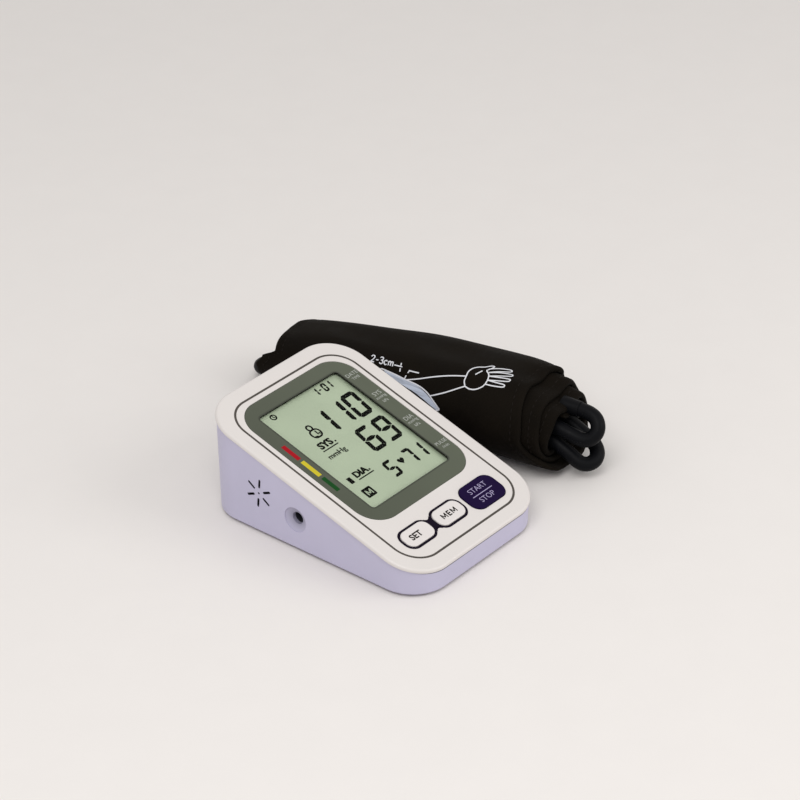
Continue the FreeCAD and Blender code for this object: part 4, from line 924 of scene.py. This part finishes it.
class MONITOR_OT_sound(bpy.types.Operator):
    """Speaker: basket, magnet and paper cone"""

    bl_idname = "monitor.sound"
    bl_label = "Speaker"

    def execute(self, context):
        paint(metal("basket_steel", (0.55, 0.55, 0.56), 0.3), "speaker_basket")
        paint(metal("magnet_plate", (0.34, 0.34, 0.36), 0.35), "speaker_magnet", "motor_magnets")
        paper = moulded("cone_paper", linear(44, 42, 42), rough=0.8, grain=1200.0, depth=0.0001, vary=0.2)
        paint(paper, "speaker_cone")
        return {"FINISHED"}


class MONITOR_OT_air(bpy.types.Operator):
    """Jack, manifold, tubes, pump and release valve"""

    bl_idname = "monitor.air"
    bl_label = "Air system"

    def execute(self, context):
        paint(moulded("jack_grey", linear(46, 46, 52), rough=0.5, Specular_IOR_Level=0.2), "air_jack")
        paint(moulded("manifold_grey", linear(150, 150, 154), rough=0.5), "air_manifold")
        tube = moulded("tube_silicone", linear(214, 214, 208), rough=0.3, vary=0.05, Transmission_Weight=0.35,
                       IOR=1.41)
        paint(tube, "tube_jack", "tube_valve", "tube_sensor", "tube_pump")
        paint(metal("motor_can", (0.66, 0.65, 0.62), 0.28, (0.1, 1.0, 1.0)), "pump_motor")
        paint(metal("rotor_steel", (0.58, 0.57, 0.56), 0.3, (0.1, 1.0, 1.0)), "motor_rotor", "valve_plunger")
        paint(moulded("pump_black", linear(34, 34, 36), rough=0.45), "pump_head")
        paint(moulded("sleeve_rubber", linear(46, 46, 48), rough=0.8, grain=900.0, depth=0.00008), "pump_sleeves")
        paint(metal("valve_can", (0.70, 0.66, 0.52), 0.3, (1.0, 0.1, 1.0)), "release_valve")
        return {"FINISHED"}


class MONITOR_OT_power(bpy.types.Operator):
    """Four cells with their contacts"""

    bl_idname = "monitor.power"
    bl_label = "Cells"

    # Shares of a cell's length at which the copper-coloured band and the bare metal of both ends start
    BAND, BARE_NUB, BARE_FLAT = (0.70, 0.705), (0.955, 0.96), (0.012, 0.007)

    def execute(self, context):
        for i in range(1, 5):
            name = "cell_%d" % i
            low, high = (corner.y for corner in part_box(name))
            paint(self.cell_finish(name, *((low, high) if i % 2 else (high, low))), name)
        nickel = metal("contact_nickel", (0.72, 0.70, 0.66), 0.2, (1.0, 1.0, 0.1))
        paint(nickel, "contact_springs", "contact_plates")
        return {"FINISHED"}

    def cell_finish(self, name, flat_y, nub_y):
        """Wrapped cell: dark sleeve, a copper-coloured band before the raised end, and bare metal at both ends."""
        material, tree, shader = blank("wrap_" + name, Roughness=0.3, Coat_Weight=0.4)
        along = span(tree, node(tree, "SeparateXYZ", {0: spot(tree)}, 1), flat_y, nub_y)
        bare = calc(tree, "MAXIMUM", span(tree, along, *self.BARE_NUB), span(tree, along, *self.BARE_FLAT))
        skin = group(tree, "moulded_skin", Grain=700.0)
        tone = blend(tree, skin["Mottle"], shade(linear(26, 26, 30)), shade(linear(38, 38, 44)))
        tone = blend(tree, span(tree, along, *self.BAND), tone, shade(linear(176, 112, 62)))
        wire(tree, shader, Base_Color=blend(tree, bare, tone, shade(linear(205, 203, 196))), Metallic=bare,
             Normal=bump(tree, skin["Height"], 0.00002, 0.2))
        return material


# Rolled cuff


def turn_starts():
    """Lengths along the middle of the wound strip at which its half turns start: a flat and a half circle each."""
    k = np.arange(HALF_TURNS + 2)
    turn = CORE_FLAT + math.pi * (CORE_R + k * HALF_PITCH + STRIP_T / 2)
    return np.concatenate([[0.0], np.cumsum(turn)])


STARTS = turn_starts()
STRIP_L = STARTS[HALF_TURNS] + STRIP_TAIL
# Sliding of the strip along the roll: half turns counted from the core, and millimetres towards the user.
# Whole even counts are on top of the roll and odd ones under it.
SLIP = [(0.0, 6.0), (1.0, 0.0), (2.0, 4.8), (2.4, 5.1), (3.0, 4.0), (4.0, -2.3), (4.4, -1.7), (5.0, 9.0),
        (5.3, 7.0), (5.6, -8.5), (6.0, -13.0), (6.18, -12.0), (6.31, -9.0), (6.45, -12.0), (6.8, -2.0), (7.2, 5.0)]
# Further sliding of the strip's far edge alone, where a fold of it stands out beside the hose's bend,
# from FOLD_FROM before the strip's middle and full FOLD_OVER further on
FAR_FOLD = [(0.0, 0.0), (5.1, 0.0), (5.38, -19.0), (5.46, -19.5), (5.56, -14.5), (5.68, -10.0), (5.76, -1.2),
            (5.98, 0.8), (6.1, 0.0), (7.2, 0.0)]
FOLD_FROM, FOLD_OVER = 44.0, 26.0
# The roll's size along it, as a polynomial of the place in units of FORM_UNIT, held beyond its ends
FORM = [-0.0684, -0.0852, -0.0889, 0.1764, 1.0002]
FORM_UNIT, FORM_ENDS = 80.0, (-92.0, 84.0)
RIPPLE_FROM, RIPPLE_OVER = 38.0, 36.0
HEM = 1.5                # rounding of the strip's edges
STITCH_IN = 5.0          # row of stitches from the edge
GROOVE_W = 1.1           # width of the groove along a row of stitches


def wound(t, d):
    """Section of the roll, (p, q), at length t along the strip and height d above its inner face.
    Half turn k runs along a flat and then round a half circle; odd ones are on the left and half a pitch up."""
    k = np.clip(np.searchsorted(STARTS, t, side="right") - 1, 0, HALF_TURNS)
    way = np.where(k % 2 == 0, 1.0, -1.0)
    past = t - STARTS[k] - CORE_FLAT
    radius = CORE_R + k * HALF_PITCH
    turn = np.maximum(past, 0.0) / (radius + STRIP_T / 2)
    p = way * (CORE_FLAT / 2 + np.minimum(past, 0.0) + (radius + d) * np.sin(turn))
    q = np.where(way > 0, 0.0, HALF_PITCH) + way * (radius + d) * np.cos(turn)
    return p, q


def slipped(t, places):
    """How far each length of the strip has slid along the roll, smoothly between the given places."""
    turns, slip = np.array(places).T
    whole = turns.astype(int)
    at = STARTS[whole] + (turns - whole) * (STARTS[whole + 1] - STARTS[whole])
    i = np.clip(np.searchsorted(at, t, side="right") - 1, 0, len(at) - 2)
    return slip[i] + (slip[i + 1] - slip[i]) * eased((t - at[i]) / (at[i + 1] - at[i]))


def loosened(p, q, s, look):
    """Soft form of the roll: its section grows or shrinks about its line on the table, thin at the far end and
    thickest before the middle of the near half, with slanting wrinkles and ripples at the near end.
    All layers move alike."""
    angle = np.arctan2(q + 2.0, p)
    near = eased((s - RIPPLE_FROM) / RIPPLE_OVER)
    size = 1.0 + look.taper * (np.polyval(FORM, np.clip(s, *FORM_ENDS) / FORM_UNIT) - 1.0)
    size = size + near * look.ripple * (np.sin(5 * angle + 3.3) + 0.5 * np.sin(9 * angle + s / 6.0))
    size = size + 0.006 * np.sin(3 * angle + s / 14.0) + 0.004 * np.sin(7 * angle - s / 9.0 + 1.3)
    return p * size, (q + CUFF_Z) * size - CUFF_Z, s


def on_strip(t, across, d, look):
    """Points of the wound, slipped and loosened strip in the frame. The fold grows towards the far edge."""
    p, q = wound(t, d)
    fold = eased((-across - FOLD_FROM) / FOLD_OVER) * slipped(t, FAR_FOLD)
    return in_cuff(*loosened(p, q, across + slipped(t, SLIP) + fold, look))


def edge_steps(length, count):
    """Stations from 0 to length, closer together at the two rounded ends."""
    end = HEM * (1 - np.cos(np.linspace(0, math.pi / 2, 6)))
    return np.concatenate([end, np.linspace(HEM, length - HEM, count)[1:-1], length - end[::-1]])


def round_end(x):
    """Share of the full thickness at x from an edge: a quarter circle over the hem."""
    x = np.clip(x / HEM, 0.0, 1.0)
    return np.sqrt(np.maximum(1 - (1 - x) ** 2, 0.0))


def strip_grid(t0, t1, width, thick, rows, columns, look, groove=0.0):
    """Closed strip: a flat oval across the strip, with a groove along each row of stitches, carried along the
    winding from t0 to t1 and drawn to a line at both ends. Gives points with faces, and the strip's own map."""
    t = t0 + edge_steps(t1 - t0, rows)
    across = edge_steps(width, columns)
    edge = np.minimum(across, width - across)
    rise = round_end(edge) * (1 - groove * np.exp(-((edge - STITCH_IN) / GROOVE_W) ** 2))
    across = across - width / 2
    half = thick / 2 * np.outer(round_end(np.minimum(t - t0, t1 - t)), rise)
    d = np.concatenate([STRIP_T / 2 + half, (STRIP_T / 2 - half)[:, -2:0:-1]], axis=1)
    s = np.concatenate([across, across[-2:0:-1]])
    points = on_strip(t[:, None], s[None, :], d, look)
    lower = np.arange(len(s)) >= len(across)
    uv = np.stack(np.broadcast_arrays(t[:, None] * MM, (s + width / 2 + lower * 2 * width)[None, :] * MM), axis=-1)
    return (points, grid_faces(len(t), len(s))), uv.reshape(-1, 2)


class MONITOR_OT_cuff(bpy.types.Operator):
    """Rolled cuff: sewn fabric strip, its stitches and the air bag inside it"""

    bl_idname = "monitor.cuff"
    bl_label = "Cuff"

    # Stitches: length, step, half thickness, height of their middle in the strip and free length at its ends
    STITCH_L, STITCH_STEP, STITCH_R, STITCH_D, STITCH_FREE = 2.3, 3.3, 0.28, 0.93 * STRIP_T, 12.0
    RINGS, SIDES = 7, 6

    def execute(self, context):
        look = context.scene.monitor_cuff
        strip, uv = strip_grid(0.0, STRIP_L, STRIP_W, STRIP_T, 300, 86, look, groove=0.16)
        cuff = piece("cuff", [strip], self.fabric_finish(look), "cuff", uv, smooth=True)
        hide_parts("cuff_sleeve")
        end = STARTS[BLADDER_HALF_TURNS] + BLADDER_TAIL
        strip, uv = strip_grid(BLADDER_START, end, BLADDER_W, BLADDER_T, 140, 40, look)
        film = moulded("bladder_film", linear(96, 98, 104), rough=0.35, grain=900.0)
        bladder = piece("bladder", [strip], film, "cuff", uv, smooth=True)
        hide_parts("cuff_bladder")
        thread = moulded("thread_black", linear(27, 23, 20), rough=0.7, grain=4000.0, Specular_IOR_Level=0.08)
        stitches = piece("cuff_stitches", self.stitches(look), thread, "cuff", smooth=True)
        prints = [bpy.data.objects[name] for name in MONITOR_OT_cuff_print.PIECES]
        return {"FINISHED"}

    def fabric_finish(self, look):
        """Black nylon: plain weave in bump and gloss, with painted shade where the weave is low, paler where it is
        brushed, with a soft sheen.
        """
        material, tree, shader = blank("cuff_nylon", Sheen_Weight=0.008, Sheen_Roughness=0.4,
                                       Specular_IOR_Level=0.045)
        weave = group(tree, "plain_weave")
        tone = blend(tree, weave["Shade"], shade(look.fabric, 0.65), shade(look.fabric, 1.35))
        # Painted shade between the threads: darker where the weave is low
        tone = blend(tree, span(tree, weave["Height"], 0.0, 0.5, 0.6, 0.0), tone, shade(look.fabric, 0.3))
        wire(tree, shader, Base_Color=tone, Roughness=span(tree, weave["Shade"], 0.0, 1.0, 0.62, 0.8),
             Normal=bump(tree, weave["Height"], 0.00012, 0.6))
        return material

    def stitches(self, look):
        """Rows of stitches along both edges: each is a thin spindle along the strip, half sunk in the cloth."""
        t = np.arange(self.STITCH_FREE, STRIP_L - self.STITCH_FREE, self.STITCH_STEP)[:, None, None]
        x = np.linspace(-1, 1, self.RINGS)
        a = np.linspace(0, 2 * math.pi, self.SIDES, endpoint=False)
        shape = self.STITCH_R * np.sqrt(np.maximum(1 - x ** 2, 0.0))[:, None]
        along = np.broadcast_to((x * self.STITCH_L / 2)[:, None], (self.RINGS, self.SIDES))
        side, height = shape * np.cos(a), self.STITCH_D + 0.7 * shape * np.sin(a) + 0 * t
        faces = np.array(grid_faces(self.RINGS, self.SIDES)) + np.arange(len(t))[:, None, None] * along.size
        faces = faces.reshape(-1, 4).tolist()
        edge = STRIP_W / 2 - STITCH_IN
        return [(on_strip(t + along, across + side, height, look), faces) for across in (-edge, edge)]


class MONITOR_OT_cuff_print(bpy.types.Operator):
    """White drawing on the cuff: an arm with its hand, the cuff on that arm and its distance from the elbow"""

    bl_idname = "monitor.cuff_print"
    bl_label = "Cuff print"

    PIECES = ("cuff_print", "cuff_print_rim")
    FOOT_T = 356.0           # length along the strip at the drawing's zero height
    LIFT, THICK, HALF = 0.03, 0.05, 0.3
    # Points (x along the roll, y up round it) of the arm, the cuff on it and the marks of the distance
    LINES = [
        [(-1.8, -4.3), (4.5, -2.4), (12.0, 0.2), (20.0, 2.5), (28.8, 4.6)],
        [(14.0, -8.4), (18.5, -6.5), (23.2, -4.3), (31.2, 0.0)],
        [(-18.0, -1.8), (-9.0, -3.1), (-2.0, -4.3), (5.5, -5.3), (11.5, -7.2), (16.5, -10.4), (20.5, -13.3)],
        [(-18.0, -1.8), (-23.0, -4.2), (-28.5, -6.6)],
        [(20.5, -13.3), (15.5, -16.0), (10.0, -18.4)],
        [(-28.5, -6.6), (-20.0, -7.9), (-10.0, -10.0), (0.0, -13.6), (10.0, -18.4)],
        [(-12.0, 1.6), (-7.2, 1.5)], [(-8.8, 3.5), (-8.3, 2.0)], [(-7.8, 0.5), (-7.2, -1.2)],
        [(-2.2, 0.4), (3.5, 0.4)], [(-2.2, 0.8), (-2.5, -0.9)], [(-2.8, -2.2), (-3.0, -3.9)],
    ]
    # Points of the hand from its wrist, along the forearm and across it
    HAND = [
        [(0.0, 2.6), (0.6, 5.2), (2.4, 7.4), (5.0, 8.4), (8.0, 8.6), (11.0, 9.7), (12.7, 9.4), (12.2, 8.2),
         (9.4, 5.8)],
        [(10.4, 7.0), (15.0, 7.8), (20.8, 7.5), (21.9, 6.5), (20.6, 5.6), (15.0, 5.1), (10.8, 4.4)],
        [(10.8, 4.4), (16.0, 4.4), (21.8, 3.7), (22.8, 2.8), (21.6, 2.0), (16.0, 2.0), (11.1, 2.0)],
        [(11.1, 2.0), (16.0, 1.1), (21.4, -0.1), (22.2, -1.0), (21.0, -1.7), (15.5, -1.0), (11.0, -0.4)],
        [(11.0, -0.4), (15.0, -1.9), (19.2, -3.4), (20.0, -4.3), (18.8, -4.8), (14.0, -3.8), (10.2, -2.6)],
        [(10.2, -2.6), (8.6, -4.0), (5.5, -4.8), (2.4, -4.2), (0.0, -2.6)],
        [(0.0, 2.6), (-0.6, 0.0), (0.0, -2.6)],
        [(9.4, 5.8), (11.0, 3.0), (11.1, 0.0), (10.2, -2.6)],
        [(4.4, 3.2), (7.4, 5.6)],
    ]
    WRIST, HAND_TURN = (30.0, 2.3), math.radians(22.0)
    # Strokes of "2-3cm" against the height of a figure
    SIGNS = [
        [(0.05, 0.75), (0.15, 0.95), (0.35, 1.0), (0.52, 0.9), (0.55, 0.72), (0.4, 0.45), (0.02, 0.0)],
        [(0.02, 0.02), (0.3, 0.02), (0.58, 0.02)],
        [(0.84, 0.42), (1.2, 0.42)],
        [(1.44, 0.85), (1.62, 1.0), (1.85, 0.95), (1.92, 0.75), (1.82, 0.57), (1.62, 0.53)],
        [(1.62, 0.53), (1.86, 0.47), (1.96, 0.27), (1.86, 0.06), (1.62, 0.0), (1.43, 0.13)],
        [(2.62, 0.54), (2.44, 0.64), (2.24, 0.54), (2.17, 0.32), (2.24, 0.1), (2.44, 0.0), (2.62, 0.1)],
        [(2.86, 0.0), (2.86, 0.64)],
        [(2.86, 0.42), (2.97, 0.6), (3.1, 0.62), (3.2, 0.5), (3.21, 0.0)],
        [(3.21, 0.42), (3.32, 0.6), (3.45, 0.62), (3.55, 0.5), (3.56, 0.0)],
    ]
    SIGN_H, SIGN_FOOT, SIGN_LEAN = 3.8, (-26.2, 0.6), -0.3
    # Pale edge of the printed cuff: its line, half its width at the ends and what its middle adds
    RIM = [(-16.0, -2.5), (-7.0, -4.8), (0.0, -6.2), (5.0, -7.2), (10.5, -9.2), (15.6, -11.6), (20.0, -14.0)]
    RIM_HALF, RIM_SWELL = 0.25, 1.4

    def execute(self, context):
        look = context.scene.monitor_cuff

        def place(x, y, w):
            p, q = wound(self.FOOT_T + y, STRIP_T + w)
            return in_cuff(*loosened(p, q, x, look))

        c, s = math.cos(self.HAND_TURN), math.sin(self.HAND_TURN)
        lines = [drawn(line) for line in self.LINES]
        lines += [self.WRIST + drawn(line) @ np.array([[c, s], [-s, c]]) for line in self.HAND]
        lean = np.array([[1.0, 0.0], [self.SIGN_LEAN, 1.0]])
        lines += [self.SIGN_FOOT + self.SIGN_H * drawn(line) @ lean for line in self.SIGNS]
        white = [band(line, self.HALF, self.LIFT, place, self.THICK * 3) for line in lines]
        piece(self.PIECES[0], white, printed("cuff_ink", look.ink), "cuff")
        line = drawn(self.RIM)
        half = self.RIM_HALF + self.RIM_SWELL * np.sin(np.linspace(0, math.pi, len(line))) ** 0.7
        rim = band(line, half, self.LIFT * 3, place, self.THICK)
        piece(self.PIECES[1], [rim], self.rim_finish(look), "cuff")
        return {"FINISHED"}

    def rim_finish(self, look):
        """Pale print with fine streaks that run along the roll."""
        material, tree, shader = blank("cuff_ink_pale", Roughness=0.5, Specular_IOR_Level=0.04)
        place = node(tree, "Mapping", {"Vector": spot(tree), "Rotation": (0.0, 0.0, -CUFF_TURN),
                                       "Scale": (1.0, 0.08, 1.0)})
        streak = span(tree, noise(tree, place, 900.0), 0.4, 0.6)
        wire(tree, shader, Base_Color=blend(tree, streak, shade(look.rim), shade(look.rim, 0.68)))
        return material


class MONITOR_OT_hose(bpy.types.Operator):
    """Air hose folded into the roll, with its port on the cuff and its plug"""

    bl_idname = "monitor.hose"
    bl_label = "Hose"

    LENGTH = 0.54

    def execute(self, context):
        look = context.scene.monitor_cuff
        route = in_cuff(*np.array(HOSE_ROUTE).T)
        curve = bpy.data.curves.new("hose_line", "CURVE")
        curve.dimensions = "3D"
        line = curve.splines.new("NURBS")
        line.points.add(len(route) - 1)
        line.points.foreach_set("co", np.column_stack([route, np.ones(len(route))]).ravel())
        line.order_u = 3
        line.use_endpoint_u = True
        line.resolution_u = 12
        curve.bevel_depth = look.hose_diameter / 2
        curve.bevel_resolution = 6
        curve.use_fill_caps = True
        curve.materials.append(self.rubber("hose_rubber", look.hose))
        hose = placed("hose_tube", curve)
        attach(hose, "cuff")
        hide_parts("hose")
        paint(self.rubber("fitting_rubber", shade(look.hose, 0.8)), "hose_port", "hose_plug")
        return {"FINISHED"}

    def rubber(self, name, colour):
        """Smooth dark rubber."""
        return moulded(name, colour, rough=0.38, grain=1200.0, depth=0.00005, vary=0.2, haze=0.2,
                       Specular_IOR_Level=0.08)


class MONITOR_PT_panel(bpy.types.Panel):
    """Buttons that build the monitor's looks, with their settings"""

    bl_idname = "MONITOR_PT_panel"
    bl_label = "Blood pressure monitor"
    bl_space_type = "VIEW_3D"
    bl_region_type = "UI"
    bl_category = "Monitor"

    def draw(self, context):
        for operator in OPERATORS:
            self.layout.operator(operator.bl_idname)
        for name, settings in SETTINGS.items():
            box = self.layout.box()
            for field in settings.__annotations__:
                box.prop(getattr(context.scene, name), field)


OPERATORS = [
    MONITOR_OT_stage,
    MONITOR_OT_hose,
    MONITOR_OT_cuff_print,
    MONITOR_OT_cuff,
    MONITOR_OT_housing,
    MONITOR_OT_display,
    MONITOR_OT_keys,
    MONITOR_OT_electronics,
    MONITOR_OT_sound,
    MONITOR_OT_air,
    MONITOR_OT_power,
]


def register():
    for kind in [*SETTINGS.values(), *OPERATORS, MONITOR_PT_panel]:
        bpy.utils.register_class(kind)
    for name, settings in SETTINGS.items():
        setattr(bpy.types.Scene, name, PointerProperty(type=settings))


def unregister():
    for name in SETTINGS:
        delattr(bpy.types.Scene, name)
    for kind in [MONITOR_PT_panel, *reversed(OPERATORS), *reversed(SETTINGS.values())]:
        bpy.utils.unregister_class(kind)


def main():
    register()
    for operator in OPERATORS:
        family, name = operator.bl_idname.split(".")
        getattr(getattr(bpy.ops, family), name)()


if __name__ == "__main__":
    main()
